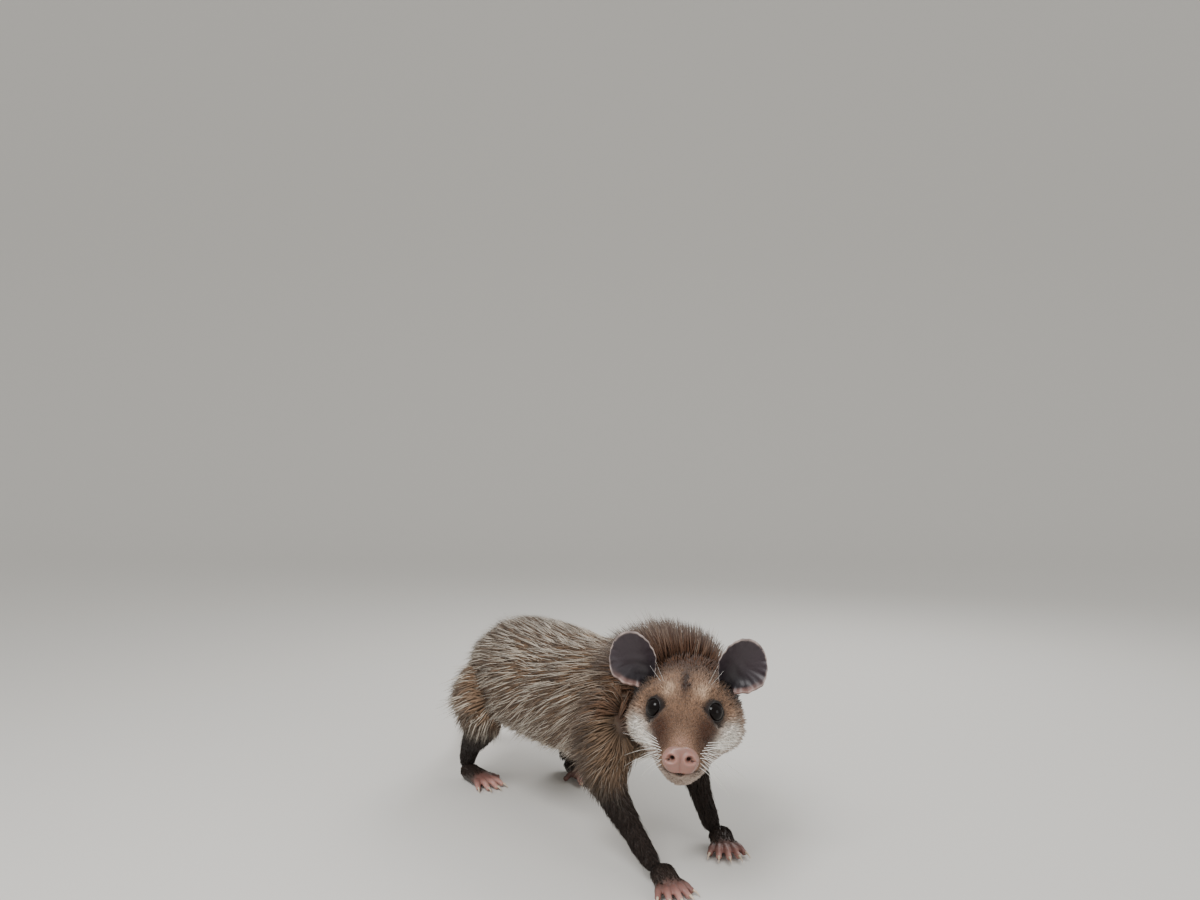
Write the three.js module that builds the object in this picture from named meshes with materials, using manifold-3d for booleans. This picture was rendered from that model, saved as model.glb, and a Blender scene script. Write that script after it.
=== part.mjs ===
// A young opossum standing still, life size, in millimetres.
// The nose points to -Y, the animal's left side is +X, and the floor is z = 0. Its right front foot is a step
// ahead, its head is raised and turned to its right, and its bare tail droops to the floor and lies along it.
// The body is built as smooth bodies along curved spines, which are joined and then parted where one would
// name the parts. The long coat is a core that reaches about half way to the tips of the flat, tapered locks.
import * as THREE from "three";
import { mergeVertices } from "three/addons/utils/BufferGeometryUtils.js";
import Module from "manifold-3d";

const wasm = await Module();
wasm.setup();

// Driving dimensions
const HEAD_LENGTH = 95;
const GAP = 0.35; // between nodes that touch
const EYE_RADIUS = 5.6;
const LID_THICKNESS = 1.1;
const EAR_LENGTH = 34.5;
const EAR_WIDTH = 29;
const EAR_THICKNESS = 1.3;
const LOCK_HALF_WIDTH = 5.6;
const LOCK_HALF_THICKNESS = 1.15;
const LOCK_LENGTH = 33;
const TIP_TAPER = 11; // how far a lock's point runs on for each millimetre that it is grown

const degrees = THREE.MathUtils.degToRad;
const point = (x, y, z) => new THREE.Vector3(x, y, z);
const mix = THREE.MathUtils.lerp;

// The same draw of numbers on every run.
let seed = 7;
function draw(low, high) {
  seed = (seed * 1664525 + 1013904223) % 4294967296;
  return mix(low, high, seed / 4294967296);
}

// A closed three.js geometry as a solid that can be joined and cut.
function solidOf(geometry) {
  geometry.deleteAttribute("normal");
  geometry.deleteAttribute("uv");
  const merged = mergeVertices(geometry, 1e-4);
  return new wasm.Manifold(
    new wasm.Mesh({
      numProp: 3,
      vertProperties: merged.attributes.position.array,
      triVerts: new Uint32Array(merged.index.array),
    }),
  );
}

const joined = (solids) => wasm.Manifold.union(solids);
const placed = (solid, matrix) => solid.transform(matrix.elements);

function largest(solid) {
  const bodies = solid.decompose();
  return bodies.reduce((a, b) => (b.volume() > a.volume() ? b : a));
}

// What lies behind the plane through at, which faces along facing, less half a gap.
const behind = (solid, at, facing) => {
  const normal = facing.clone().normalize();
  return solid.trimByPlane(normal.clone().negate().toArray(), -(normal.dot(at) - GAP / 2));
};

// A smooth closed body along a spine. A station is [x, y, z, half width, height above, depth below].
class Body {
  constructor(stations, { sides = 14, middle = 8, caps = [0.1, 0.1], capSteps = 3, shape = null } = {}) {
    this.spine = new THREE.CatmullRomCurve3(stations.map(([x, y, z]) => point(x, y, z)));
    this.girth = new THREE.CatmullRomCurve3(
      stations.map(([, , , wide, up, down]) => point(wide, up ?? wide, down ?? up ?? wide)),
      false,
      "catmullrom",
    );
    Object.assign(this, { sides, middle, caps, capSteps, shape });
  }

  // The surface point at a fraction of the spine and an angle: 0 is the left side and 90 degrees the top.
  at(along, angle, lift = 0, full = 1) {
    const t = THREE.MathUtils.clamp(along, 0, 1);
    const tangent = this.spine.getTangent(t);
    const side = point(1, 0, 0).addScaledVector(tangent, -tangent.x).normalize();
    const up = side.clone().cross(tangent);
    const girth = this.girth.getPoint(t);
    const tall = Math.sin(angle) >= 0 ? girth.y : girth.z;
    const made = this.spine
      .getPoint(t)
      .addScaledVector(side, (girth.x + lift) * full * Math.cos(angle))
      .addScaledVector(up, (tall + lift) * full * Math.sin(angle));
    return this.shape ? this.shape(made) : made;
  }

  // Rows along the spine, with round ends.
  rows() {
    const [start, end] = this.caps;
    const list = [];
    for (let i = 0; i <= this.capSteps; i++) {
      const turn = (i / this.capSteps) * (Math.PI / 2);
      list.push({ t: start * (1 - Math.cos(turn)), full: Math.sin(turn) });
    }
    for (let i = 1; i < this.middle; i++) {
      list.push({ t: mix(start, 1 - end, i / this.middle), full: 1 });
    }
    for (let i = this.capSteps; i >= 0; i--) {
      const turn = (i / this.capSteps) * (Math.PI / 2);
      list.push({ t: 1 - end * (1 - Math.cos(turn)), full: Math.sin(turn) });
    }
    return list;
  }

  solid(lift = 0) {
    const rows = this.rows();
    const geometry = new THREE.SphereGeometry(1, this.sides, rows.length - 1);
    const position = geometry.attributes.position;
    for (let i = 0; i < position.count; i++) {
      const { t, full } = rows[Math.floor(i / (this.sides + 1))];
      const angle = ((i % (this.sides + 1)) % this.sides) * ((2 * Math.PI) / this.sides);
      position.setXYZ(i, ...this.at(t, angle, lift, full).toArray());
    }
    return solidOf(geometry);
  }
}

// Moves the points near a place on both sides of the head, fading with distance.
const soften = (moves) => (p) => {
  const out = p.clone();
  for (const { at, size, push } of moves) {
    for (const side of at[0] === 0 ? [1] : [1, -1]) {
      const dx = (p.x - side * at[0]) / size[0];
      const dy = (p.y - at[1]) / size[1];
      const dz = (p.z - at[2]) / size[2];
      const weight = Math.exp(-(dx * dx + dy * dy + dz * dz));
      out.add(point(side * push[0], push[1], push[2]).multiplyScalar(weight));
    }
  }
  return out;
};

// Head, in its own frame: the back of the skull is the origin and the tip of the nose is at y = -HEAD_LENGTH.
const HEAD_POSE = new THREE.Matrix4()
  .makeRotationFromEuler(new THREE.Euler(degrees(2), degrees(2.5), degrees(-42), "ZXY"))
  .setPosition(11.8, 31.3, 93.1);

const HEAD_STATIONS = [
  [0, -HEAD_LENGTH, -5, 6.8, 5, 6],
  [0, -90, -5.4, 8.8, 6.8, 10.2],
  [0, -83, -5.8, 10.4, 9.4, 14.8],
  [0, -73, -5.8, 13.2, 13, 18.4],
  [0, -63, -5.2, 17.4, 17, 20.6],
  [0, -53, -4.4, 22.6, 21, 21.8],
  [0, -43, -3.4, 26.8, 24, 22],
  [0, -33, -2.6, 28.8, 25.4, 22.4],
  [0, -21, -2, 28.4, 25, 21.8],
  [0, -9, -1, 26, 22.4, 19.5],
  [0, 3, 0, 20, 16, 15],
];

const HEAD_MOVES = [
  { at: [12, -47, 17], size: [6, 7, 6], push: [0.4, 0, 1.8] }, // brow
  { at: [22, -55, 6], size: [5, 7, 6], push: [-2.2, 0, 0] }, // hollow before the eye
  { at: [26, -38, -9], size: [9, 13, 9], push: [2, 0, -1] }, // cheek
  { at: [9, -82, -7], size: [4, 8, 4], push: [1.6, 0, -0.4] }, // whisker pad
  { at: [0, -66, 9], size: [8, 12, 6], push: [0, 0, -1.2] }, // bridge of the nose
  { at: [0, -80, -18], size: [7, 6, 4], push: [0, 0, -0.8] }, // chin
];

const headBody = new Body(HEAD_STATIONS, {
  sides: 24,
  middle: 18,
  caps: [0.035, 0.06],
  shape: soften(HEAD_MOVES),
});

// The mouth: a thin groove that follows both lips, from under the nose to below the eye.
const MOUTH_LINE = [
  [-98, -11.8],
  [-91, -12.6],
  [-80, -14],
  [-68, -13.4],
  [-57, -10.6],
];
const MOUTH_OPENING = 0.9;
const LIP_DEPTH = 2.2;

function mouthGroove() {
  const line = new THREE.SplineCurve(MOUTH_LINE.map(([y, z]) => new THREE.Vector2(y, z))).getPoints(12);
  const outline = new THREE.Shape([
    ...line.map((p) => new THREE.Vector2(p.x, p.y + MOUTH_OPENING / 2)),
    ...line.reverse().map((p) => new THREE.Vector2(p.x, p.y - MOUTH_OPENING / 2)),
  ]);
  const width = 60;
  const band = new THREE.ExtrudeGeometry(outline, { depth: width, bevelEnabled: false });
  // The outline is drawn as (y, z) and extruded along x.
  const turn = new THREE.Matrix4().makeBasis(point(0, 1, 0), point(0, 0, 1), point(1, 0, 0));
  band.applyMatrix4(turn).translate(-width / 2, 0, 0);
  return solidOf(band).subtract(headBody.solid(-LIP_DEPTH));
}

// An eye looks forwards, outwards and a little up.
const EYE = { at: point(15, -51, 7), gaze: point(0.62, -0.72, 0.3).normalize() };

function sided(vector, side) {
  return point(vector.x * side, vector.y, vector.z);
}

const ball = (radius, sides, rows, at) =>
  solidOf(new THREE.SphereGeometry(radius, sides, rows).translate(...at.toArray()));

// The slit between the lids, as a bar along the gaze with an almond section.
function lidOpening(side) {
  const slit = new THREE.CylinderGeometry(1, 1, 14, 16).scale(5.5, 1, 4.7);
  const gaze = sided(EYE.gaze, side);
  const across = point(0, 0, 1).cross(gaze).normalize();
  const turn = new THREE.Matrix4().makeBasis(across, gaze, across.clone().cross(gaze));
  const middle = sided(EYE.at, side).addScaledVector(gaze, 9.5);
  return solidOf(slit.applyMatrix4(turn.setPosition(middle)));
}

// Ears: a thin round cup on a narrower root.
const EAR = { root: point(20.5, -25, 11.5), up: point(0.47, -0.02, 0.88), facing: point(0.25, -0.97, 0) };

function ear(side, thickness = EAR_THICKNESS) {
  const up = sided(EAR.up, side).normalize();
  const facing = sided(EAR.facing, side);
  facing.addScaledVector(up, -facing.dot(up)).normalize();
  const across = up.clone().cross(facing);
  const sheet = new THREE.BoxGeometry(2, 2, 1, 9, 9, 1);
  const position = sheet.attributes.position;
  for (let i = 0; i < position.count; i++) {
    const [a, b, face] = [position.getX(i), position.getY(i), position.getZ(i)];
    // A square grid as a round sheet, which the root narrows and the cup bends forwards at its edges.
    const x = a * Math.sqrt(1 - (b * b) / 2);
    const y = b * Math.sqrt(1 - (a * a) / 2);
    const height = (y + 1) / 2;
    const half = (EAR_WIDTH / 2) * mix(0.62, 1, THREE.MathUtils.smoothstep(height, 0, 0.55));
    const cup = mix(13, 4.5, height) * x * x + 3 * height * height - 1.5;
    const made = sided(EAR.root, side)
      .addScaledVector(up, EAR_LENGTH * height)
      .addScaledVector(across, half * x)
      .addScaledVector(facing, cup + face * thickness);
    position.setXYZ(i, ...made.toArray());
  }
  return solidOf(sheet);
}

// Nose pad, the front of the muzzle, with a nostril that opens to each side.
const NOSE_BACK = -89.5;
const NOSTRIL = { at: point(5.6, -93.6, -5.4), radius: 1.5, length: 6 };

function nostril(side) {
  const hole = new THREE.CapsuleGeometry(NOSTRIL.radius, NOSTRIL.length, 3, 8);
  hole.rotateZ(degrees(side * -62)).rotateX(degrees(-18));
  return solidOf(hole.translate(side * (NOSTRIL.at.x + 2), NOSTRIL.at.y, NOSTRIL.at.z));
}

function headParts() {
  const facing = point(0, -1, 0);
  const noseCut = point(0, NOSE_BACK, 0);
  const whole = headBody.solid().subtract(mouthGroove());
  const nose = behind(headBody.solid(0.4), noseCut, facing.clone().negate())
    .subtract(nostril(1))
    .subtract(nostril(-1))
    .subtract(mouthGroove());
  const upperNose = nose.trimByPlane([0, 0, 1], MOUTH_LINE[0][1] + MOUTH_OPENING / 2);
  let skull = behind(whole, noseCut, facing);
  for (const side of [1, -1]) {
    const centre = sided(EYE.at, side);
    const lids = ball(EYE_RADIUS + GAP + LID_THICKNESS, 16, 10, centre);
    skull = skull
      .add(lids)
      .subtract(ball(EYE_RADIUS + GAP, 14, 9, centre))
      .subtract(lidOpening(side));
  }
  const parts = { head: largest(skull), nose: largest(upperNose) };
  for (const side of [1, -1]) {
    const name = side > 0 ? "left" : "right";
    parts[`eye_${name}`] = ball(EYE_RADIUS, 14, 9, sided(EYE.at, side));
    parts[`ear_${name}`] = largest(ear(side).subtract(headBody.solid(GAP)));
  }
  return Object.fromEntries(Object.entries(parts).map(([name, solid]) => [name, placed(solid, HEAD_POSE)]));
}

// Trunk: one spine from inside the head to the root of the tail. Its girth is the coat's core.
const TRUNK_STATIONS = [
  [-4, 16, 89, 21, 18, 17],
  [5, 28, 90, 25, 21, 22],
  [9, 42, 90.5, 27, 24, 27],
  [9, 58, 88, 30, 28, 31],
  [5, 78, 83.5, 34, 32, 35],
  [0, 104, 80, 37, 34, 37],
  [0, 134, 79, 39.5, 35.5, 38],
  [0, 165, 79.5, 40.5, 36, 38.5],
  [0, 195, 79, 38, 35.5, 36],
  [0, 220, 75.5, 31, 30, 30],
  [0, 238, 70.5, 20, 20, 20],
  [1, 252, 64, 11.5, 11.5, 11.5],
];
const trunk = new Body(TRUNK_STATIONS, { sides: 18, middle: 16, caps: [0.05, 0.03] });
const NECK_SEAM = 0.2; // fraction of the trunk's spine
const TAIL_SEAM = 0.965;

const seamOf = (body, t) => [body.spine.getPoint(t), body.spine.getTangent(t)];

// Legs, from inside the trunk to the wrist or ankle. Above is the back of the leg and below its front.
const LEGS = {
  foreleg_left: {
    stations: [
      [22, 60, 92, 9, 14, 13],
      [31, 56, 74, 11, 15, 14],
      [36, 57, 58, 10.5, 13, 12],
      [37.5, 56, 43, 8, 9.4, 9],
      [36.5, 48, 27, 6.4, 7, 7],
      [35.5, 39, 14, 6, 6.4, 6.6],
      [34.5, 33, 7.5, 5.4, 5.2, 5.2],
    ],
    split: [58, 40, 15],
    foot: { at: [33.6, 25, 0], heading: -28, kind: "hand" },
  },
  foreleg_right: {
    stations: [
      [-18, 58, 92, 9, 14, 13],
      [-27, 54, 74, 11, 15, 14],
      [-32, 52, 58, 10.5, 13, 12],
      [-33, 46, 43, 8, 9.4, 9],
      [-31, 32, 27, 6.4, 7, 7],
      [-29, 18, 14, 6, 6.4, 6.6],
      [-28, 11, 7.5, 5.4, 5.2, 5.2],
    ],
    split: [58, 40, 15],
    foot: { at: [-27, 3, 0], heading: -14, kind: "hand" },
  },
  hindleg_left: {
    stations: [
      [20, 196, 86, 13, 20, 18],
      [31, 190, 70, 15, 22, 19],
      [37, 182, 56, 13, 18, 16],
      [37.5, 182, 42, 9.6, 12, 11],
      [36, 191, 29, 7.2, 9, 8],
      [34.5, 200, 16, 6.4, 7.4, 7],
      [34, 200, 8, 5.8, 5.8, 5.8],
    ],
    split: [58, 40, 15.5],
    foot: { at: [34, 184, 0], heading: -8, kind: "foot" },
  },
  hindleg_right: {
    stations: [
      [-20, 200, 86, 13, 20, 18],
      [-31, 200, 70, 15, 22, 19],
      [-37, 198, 56, 13, 17.5, 16],
      [-37.5, 204, 42, 9.6, 12, 11],
      [-36, 218, 29, 7.2, 9, 8],
      [-34.5, 229, 16, 6.4, 7.4, 7],
      [-34, 230, 8, 5.8, 5.8, 5.8],
    ],
    split: [58, 40, 15.5],
    foot: { at: [-34, 215, 0], heading: 8, kind: "foot" },
  },
};

// Feet: a palm or sole with spread toes, in a frame whose origin is under its middle, toes towards -y. The
// first toe is on the inner side; on the hind foot it is the thumb, which has no claw.
const FEET = {
  hand: {
    palm: [
      [0, -8, 3.6, 6.6, 3.4, 4.2],
      [0, -3, 4.4, 7.6, 4.4, 5],
      [0, 4, 6.2, 6.8, 5.4, 7],
      [0, 9, 8.4, 5.6, 5, 9],
    ],
    toes: [
      { turn: -30, reach: 14, from: [-4.6, -1] },
      { turn: -14, reach: 16.5, from: [-2.8, -2.6] },
      { turn: -1, reach: 17.5, from: [0, -3] },
      { turn: 12, reach: 17, from: [2.8, -2.6] },
      { turn: 28, reach: 15, from: [4.8, -1.2] },
    ],
    thumb: false,
  },
  foot: {
    palm: [
      [0, -12, 3.6, 7.2, 3.4, 4.2],
      [0, -5, 4.6, 8.4, 4.4, 5],
      [0, 5, 5.4, 7, 5, 6],
      [0, 17, 6.2, 6, 6, 7],
    ],
    toes: [
      { turn: -64, reach: 15, from: [-3, -2] },
      { turn: -14, reach: 17.5, from: [-4, -7] },
      { turn: -1, reach: 19, from: [-0.8, -7.6] },
      { turn: 11, reach: 18, from: [2.6, -7.4] },
      { turn: 27, reach: 15.5, from: [5, -5.6] },
    ],
    thumb: true,
  },
};
const CLAW = { radius: 0.95, length: 4.6, droop: 24 };

function foot({ at, heading, kind }, side) {
  const { palm, toes, thumb } = FEET[kind];
  const pieces = [new Body(palm, { sides: 10, middle: 2, caps: [0.22, 0.2], capSteps: 2 }).solid()];
  toes.forEach(({ turn, reach, from }, i) => {
    const ahead = point(Math.sin(degrees(turn)), -Math.cos(degrees(turn)), 0);
    const root = point(from[0], from[1], 0);
    const along = (share, z) => root.clone().addScaledVector(ahead, reach * share).setZ(z);
    const opposed = thumb && i === 0;
    const spread = opposed ? 2.5 : 2;
    const stations = [
      [...along(0.86, spread - 0.3).toArray(), spread],
      [...along(0.6, 3.4).toArray(), 1.8],
      [...along(0.3, 4.8).toArray(), 2.2],
      [...along(0, 4.4).toArray(), 2.6],
    ];
    pieces.push(new Body(stations, { sides: 5, middle: 2, caps: [0.14, 0.1], capSteps: 2 }).solid());
    if (!opposed) {
      const claw = new THREE.ConeGeometry(CLAW.radius, CLAW.length, 4, 1);
      claw.translate(0, CLAW.length / 2, 0).rotateX(degrees(90 + CLAW.droop)).rotateZ(degrees(turn));
      const seat = along(0.86, 2.7);
      pieces.push(solidOf(claw.translate(...seat.toArray())));
    }
  });
  const whole = largest(joined(pieces));
  const place = new THREE.Matrix4().makeRotationZ(degrees(heading)).setPosition(...at);
  return placed(side > 0 ? whole : whole.mirror([1, 0, 0]), place).trimByPlane([0, 0, 1], 0);
}

// Tail: bare, round and tapering, in four lengths.
const TAIL_STATIONS = [
  [0, 236, 71, 12],
  [1, 252, 63.5, 11],
  [3, 268, 50, 9.6],
  [6, 284, 34, 8.4],
  [11, 302, 19, 7.5],
  [18, 324, 9.6, 6.9],
  [28, 350, 5.9, 6.3],
  [42, 377, 5.3, 5.7],
  [60, 401, 4.7, 5.1],
  [82, 421, 4.1, 4.4],
  [106, 432, 3.4, 3.7],
  [126, 430, 2.8, 3.1],
  [138, 418, 2.2, 2.5],
];
const tail = new Body(TAIL_STATIONS, { sides: 10, middle: 26, caps: [0.02, 0.015] });
const TAIL_PARTS = { tail_root: [0, 0.34], tail_middle: [0.34, 0.62], tail_end: [0.62, 0.82], tail_tip: [0.82, 1] };

// Locks. Each starts sunk in the core, rises out of it and bends over along the lie of the coat.
function lock(body, { t, angle, length, sweep, rise, width = 1, sink = 3.2 }, grow = 0) {
  const step = 1e-3;
  const here = body.at(t, angle);
  const perLength = body.at(t + step, angle).distanceTo(here) / step;
  const perAngle = body.at(t, angle + step).distanceTo(here) / step;
  const reach = (share, lift) =>
    body.at(
      t + (share * length * Math.cos(sweep)) / perLength,
      angle + (share * length * Math.sin(sweep)) / perAngle,
      lift,
    );
  const lifts = [-sink, rise * 0.62, rise * 0.95, rise];
  const shares = [-0.04, 0.36, 0.72, 1];
  const spine = shares.map((share, i) => reach(share, lifts[i]));
  spine[3].add(spine[3].clone().sub(spine[2]).setLength(grow * TIP_TAPER));
  const widths = [0.7, 1, 0.72, 0];
  const geometry = new THREE.ConeGeometry(1, 1, 4, 3);
  const position = geometry.attributes.position;
  const lying = spine[3].clone().sub(spine[0]).normalize();
  const outward = body.at(t, angle, 1).sub(here).normalize();
  const across = lying.clone().cross(outward).normalize();
  const thin = across.clone().cross(lying);
  for (let i = 0; i < position.count; i++) {
    const ring = Math.round((position.getY(i) + 0.5) * 3);
    const radius = 1 - ring / 3 || 1;
    const wide = LOCK_HALF_WIDTH * width * widths[ring] + grow;
    const thick = LOCK_HALF_THICKNESS * (ring === 2 ? 0.7 : 1) + grow;
    const made = spine[ring].clone();
    if (ring < 3) {
      made.addScaledVector(across, (wide * Math.round((1000 * position.getX(i)) / radius)) / 1000);
      made.addScaledVector(thin, (thick * Math.round((1000 * position.getZ(i)) / radius)) / 1000);
    }
    position.setXYZ(i, ...made.toArray());
  }
  const made = solidOf(geometry);
  return made.volume() < 0 ? null : made;
}

// Rows of locks over part of a body, each row offset by half a lock from the one before it.
function coat(body, { from, to, rows, count, arc = [0, 360], style }, obstacles) {
  const locks = [];
  const cleared = [];
  for (let row = 0; row < rows; row++) {
    const t = mix(from, to, row / Math.max(1, rows - 1));
    for (let i = 0; i < count; i++) {
      const angle = degrees(mix(...arc, (i + (row % 2) / 2 + draw(-0.14, 0.14)) / count));
      const jitter = { t: draw(-0.006, 0.006), length: draw(0.86, 1.14), sweep: draw(-0.12, 0.12), rise: draw(0.8, 1.2) };
      const made = body.at(t, angle);
      const own = style(made, angle, t);
      for (const share of [1, 0.8, 0.6]) {
        const settings = {
          ...own,
          t: t + jitter.t,
          angle,
          length: own.length * jitter.length * share,
          sweep: own.sweep + jitter.sweep,
          rise: own.rise * jitter.rise,
        };
        const piece = lock(body, settings);
        if (piece && obstacles.every((o) => piece.intersect(o).isEmpty())) {
          locks.push(piece);
          cleared.push(lock(body, settings, GAP));
          break;
        }
      }
    }
  }
  return { locks, cleared };
}

const RUFF = {
  rows: 2,
  count: 12,
  arc: [-245, 65],
  style: () => ({ length: 25, sweep: 0, rise: 5 }),
};

// The hair that stands up behind the head.
const CREST = {
  rows: 3,
  count: 7,
  arc: [55, 125],
  style: () => ({ length: 24, sweep: 0, rise: 17, width: 0.6 }),
};

const BACK = {
  rows: 8,
  count: 11,
  style: (at, angle, t) => {
    const top = Math.sin(angle);
    const down = Math.cos(angle) > 0 ? -1 : 1;
    const under = Math.max(0, -top);
    const withers = Math.max(0, top) ** 3 * Math.max(0, 1 - (t - NECK_SEAM) / 0.25);
    return {
      length: LOCK_LENGTH * mix(1, 0.7, under),
      sweep: down * 0.55 * Math.max(0, 1 - Math.abs(top)),
      rise: mix(7, 4.5, under) + 8 * withers,
    };
  },
};

// Shoulders and thighs: only their outer sides show.
const SHOULDER = {
  left: { from: 0.14, to: 0.3, rows: 2, count: 3, arc: [-80, 80] },
  right: { from: 0.14, to: 0.3, rows: 2, count: 3, arc: [100, 260] },
};
for (const part of Object.values(SHOULDER)) part.style = () => ({ length: 24, sweep: 0, rise: 4 });

function build() {
  const nodes = headParts();
  const legs = Object.entries(LEGS).map(([name, leg]) => ({
    name,
    ...leg,
    side: Math.sign(leg.foot.at[0]),
    body: new Body(leg.stations, { sides: 12, middle: 8, caps: [0.1, 0.06] }),
  }));
  const flat = ([high, low]) => (solid) => {
    let out = solid;
    if (high !== null) out = behind(out, point(0, 0, high), point(0, 0, 1));
    if (low !== null) out = behind(out, point(0, 0, low), point(0, 0, -1));
    return out;
  };
  const trunkFat = trunk.solid(GAP);
  const [neckAt, neckFacing] = seamOf(trunk, NECK_SEAM);
  const [tailAt, tailFacing] = seamOf(trunk, TAIL_SEAM);

  // Each leg in three: the bulge above its split stays with the torso.
  const bulges = [];
  const lowerFat = [];
  for (const { name, body, side, split, foot: ground } of legs) {
    const [shoulder, knee, ankle] = split;
    const leg = body.solid();
    bulges.push(flat([null, shoulder])(leg));
    const upper = largest(flat([shoulder, knee])(leg).subtract(trunkFat));
    nodes[`${name}_upper`] = upper;
    nodes[`${name}_lower`] = largest(flat([knee, ankle])(leg));
    const own = largest(joined([foot(ground, side), flat([ankle, null])(leg)]));
    nodes[`${name}_foot`] = largest(behind(own, point(0, 0, ankle), point(0, 0, 1)).trimByPlane([0, 0, 1], 0));
    lowerFat.push(behind(body.solid(GAP * 1.6), point(0, 0, shoulder + 2 * GAP), point(0, 0, 1)));
  }

  const head = placed(headBody.solid(GAP), HEAD_POSE);
  const ears = [nodes.ear_left, nodes.ear_right];
  const tailSolid = tail.solid();
  const tailFat = behind(tail.solid(GAP * 1.6), tailAt, tailFacing.clone().negate());

  const legParts = Object.entries(nodes).filter(([name]) => /leg/.test(name)).map(([, solid]) => solid);
  const neckClear = [head, ...ears, ...lowerFat];
  const torsoClear = [...lowerFat, tailFat, ...legParts];
  const ruff = coat(trunk, { ...RUFF, from: 0.085, to: NECK_SEAM - 0.03 }, neckClear);
  const crest = coat(trunk, { ...CREST, from: 0.075, to: NECK_SEAM - 0.01 }, neckClear);
  const back = coat(trunk, { ...BACK, from: NECK_SEAM + 0.04, to: TAIL_SEAM - 0.06 }, torsoClear);
  const shoulders = legs.map(({ body, side }) => coat(body, side > 0 ? SHOULDER.left : SHOULDER.right, torsoClear));

  const neckCore = behind(trunk.solid(), neckAt, neckFacing).subtract(head);
  nodes.neck = largest(joined([neckCore, ...ruff.locks, ...crest.locks]));
  const torsoCore = behind(trunk.solid(), tailAt, tailFacing);
  const torsoLocks = [back, ...shoulders].flatMap(({ locks }) => locks);
  const torso = behind(joined([torsoCore, ...bulges, ...torsoLocks]), neckAt, neckFacing.clone().negate());
  nodes.torso = largest(torso.subtract(joined([...ruff.cleared, ...crest.cleared])));

  for (const [name, [start, end]] of Object.entries(TAIL_PARTS)) {
    let part = tailSolid;
    const [startAt, startFacing] = start === 0 ? [tailAt, tailFacing] : seamOf(tail, start);
    part = behind(part, startAt, startFacing.clone().negate());
    if (end < 1) part = behind(part, ...seamOf(tail, end));
    nodes[name] = largest(part.trimByPlane([0, 0, 1], 0));
  }
  return nodes;
}

// Finishes
const finish = (color, roughness) => new THREE.MeshStandardMaterial({ color, roughness, metalness: 0 });
const COAT = finish("#6f5d4d", 0.9);
const FACE = finish("#9a8474", 0.85);
const DARK_LEG = finish("#2e2623", 0.85);
const EAR_SKIN = finish("#2c2529", 0.6);
const NOSE_SKIN = finish("#c58f86", 0.45);
const FOOT_SKIN = finish("#6d4a47", 0.6);
const TAIL_SKIN = finish("#b59b8c", 0.65);
const EYE_GLOSS = finish("#120c0a", 0.08);

const FINISHES = [
  [/^ear/, EAR_SKIN],
  [/^eye/, EYE_GLOSS],
  [/^nose/, NOSE_SKIN],
  [/^head/, FACE],
  [/^tail/, TAIL_SKIN],
  [/_foot$/, FOOT_SKIN],
  [/leg/, DARK_LEG],
  [/./, COAT],
];

const nodes = build();
const opossum = new THREE.Group();
for (const [name, solid] of Object.entries(nodes)) {
  const { vertProperties, triVerts } = solid.getMesh();
  const geometry = new THREE.BufferGeometry()
    .setAttribute("position", new THREE.BufferAttribute(vertProperties, 3))
    .setIndex(new THREE.BufferAttribute(triVerts, 1));
  geometry.computeVertexNormals();
  const [, material] = FINISHES.find(([pattern]) => pattern.test(name));
  const mesh = new THREE.Mesh(geometry, material);
  mesh.name = name;
  opossum.add(mesh);
}

// The origin is on the floor under the middle of the whole animal.
const box = new THREE.Box3().setFromObject(opossum);
const middle = box.getCenter(point(0, 0, 0));
opossum.position.set(-middle.x, -middle.y, 0);

export default opossum;
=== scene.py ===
# %% [markdown]
# # A young opossum, standing
#
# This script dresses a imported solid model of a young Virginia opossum. The solids give every part its real
# size and place, in metres, with the floor at z = 0 and the nose towards -Y. Blender adds what a solid
# can't carry: one skin without seams, a coat of many thousand tufts, eyes, whiskers and claws.

# %% Load the solids
import math

import bmesh
import bpy
import numpy as np
from mathutils import Matrix, Vector
from mathutils.kdtree import KDTree


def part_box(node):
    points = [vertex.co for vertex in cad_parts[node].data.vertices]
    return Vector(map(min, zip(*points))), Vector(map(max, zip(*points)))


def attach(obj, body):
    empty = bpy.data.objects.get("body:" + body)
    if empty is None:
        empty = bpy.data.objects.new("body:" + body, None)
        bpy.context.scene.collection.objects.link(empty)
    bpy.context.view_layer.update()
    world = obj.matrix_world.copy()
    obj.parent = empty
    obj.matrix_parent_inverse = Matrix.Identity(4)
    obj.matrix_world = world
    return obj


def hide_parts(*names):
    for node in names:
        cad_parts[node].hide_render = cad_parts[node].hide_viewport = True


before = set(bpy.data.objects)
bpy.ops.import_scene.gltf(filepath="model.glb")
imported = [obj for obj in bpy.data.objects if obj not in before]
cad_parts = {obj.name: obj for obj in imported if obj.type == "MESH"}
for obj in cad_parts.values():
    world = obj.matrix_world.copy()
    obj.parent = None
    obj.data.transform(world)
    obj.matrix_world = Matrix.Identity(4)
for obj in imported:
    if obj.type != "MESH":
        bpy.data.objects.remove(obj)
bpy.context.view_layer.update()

MM = 0.001
SIDES = {"left": 1, "right": -1}

# %% [markdown]
# ## Colours and nodes
#
# Fur and skin colours are easiest to choose as the hex values that a painter reads off a screen. Shaders
# work in linear light, so one function turns the one into the other. A second function adds a shader node
# with its settings, values and links in one line, so that a material reads like a recipe.

# %% Helpers for colours, nodes and meshes
def linear(hex_colour):
    """An sRGB hex colour as the linear values that a shader uses."""
    channels = [int(hex_colour[i : i + 2], 16) / 255 for i in (1, 3, 5)]
    return np.array([c / 12.92 if c <= 0.04045 else ((c + 0.055) / 1.055) ** 2.4 for c in channels])


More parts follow.
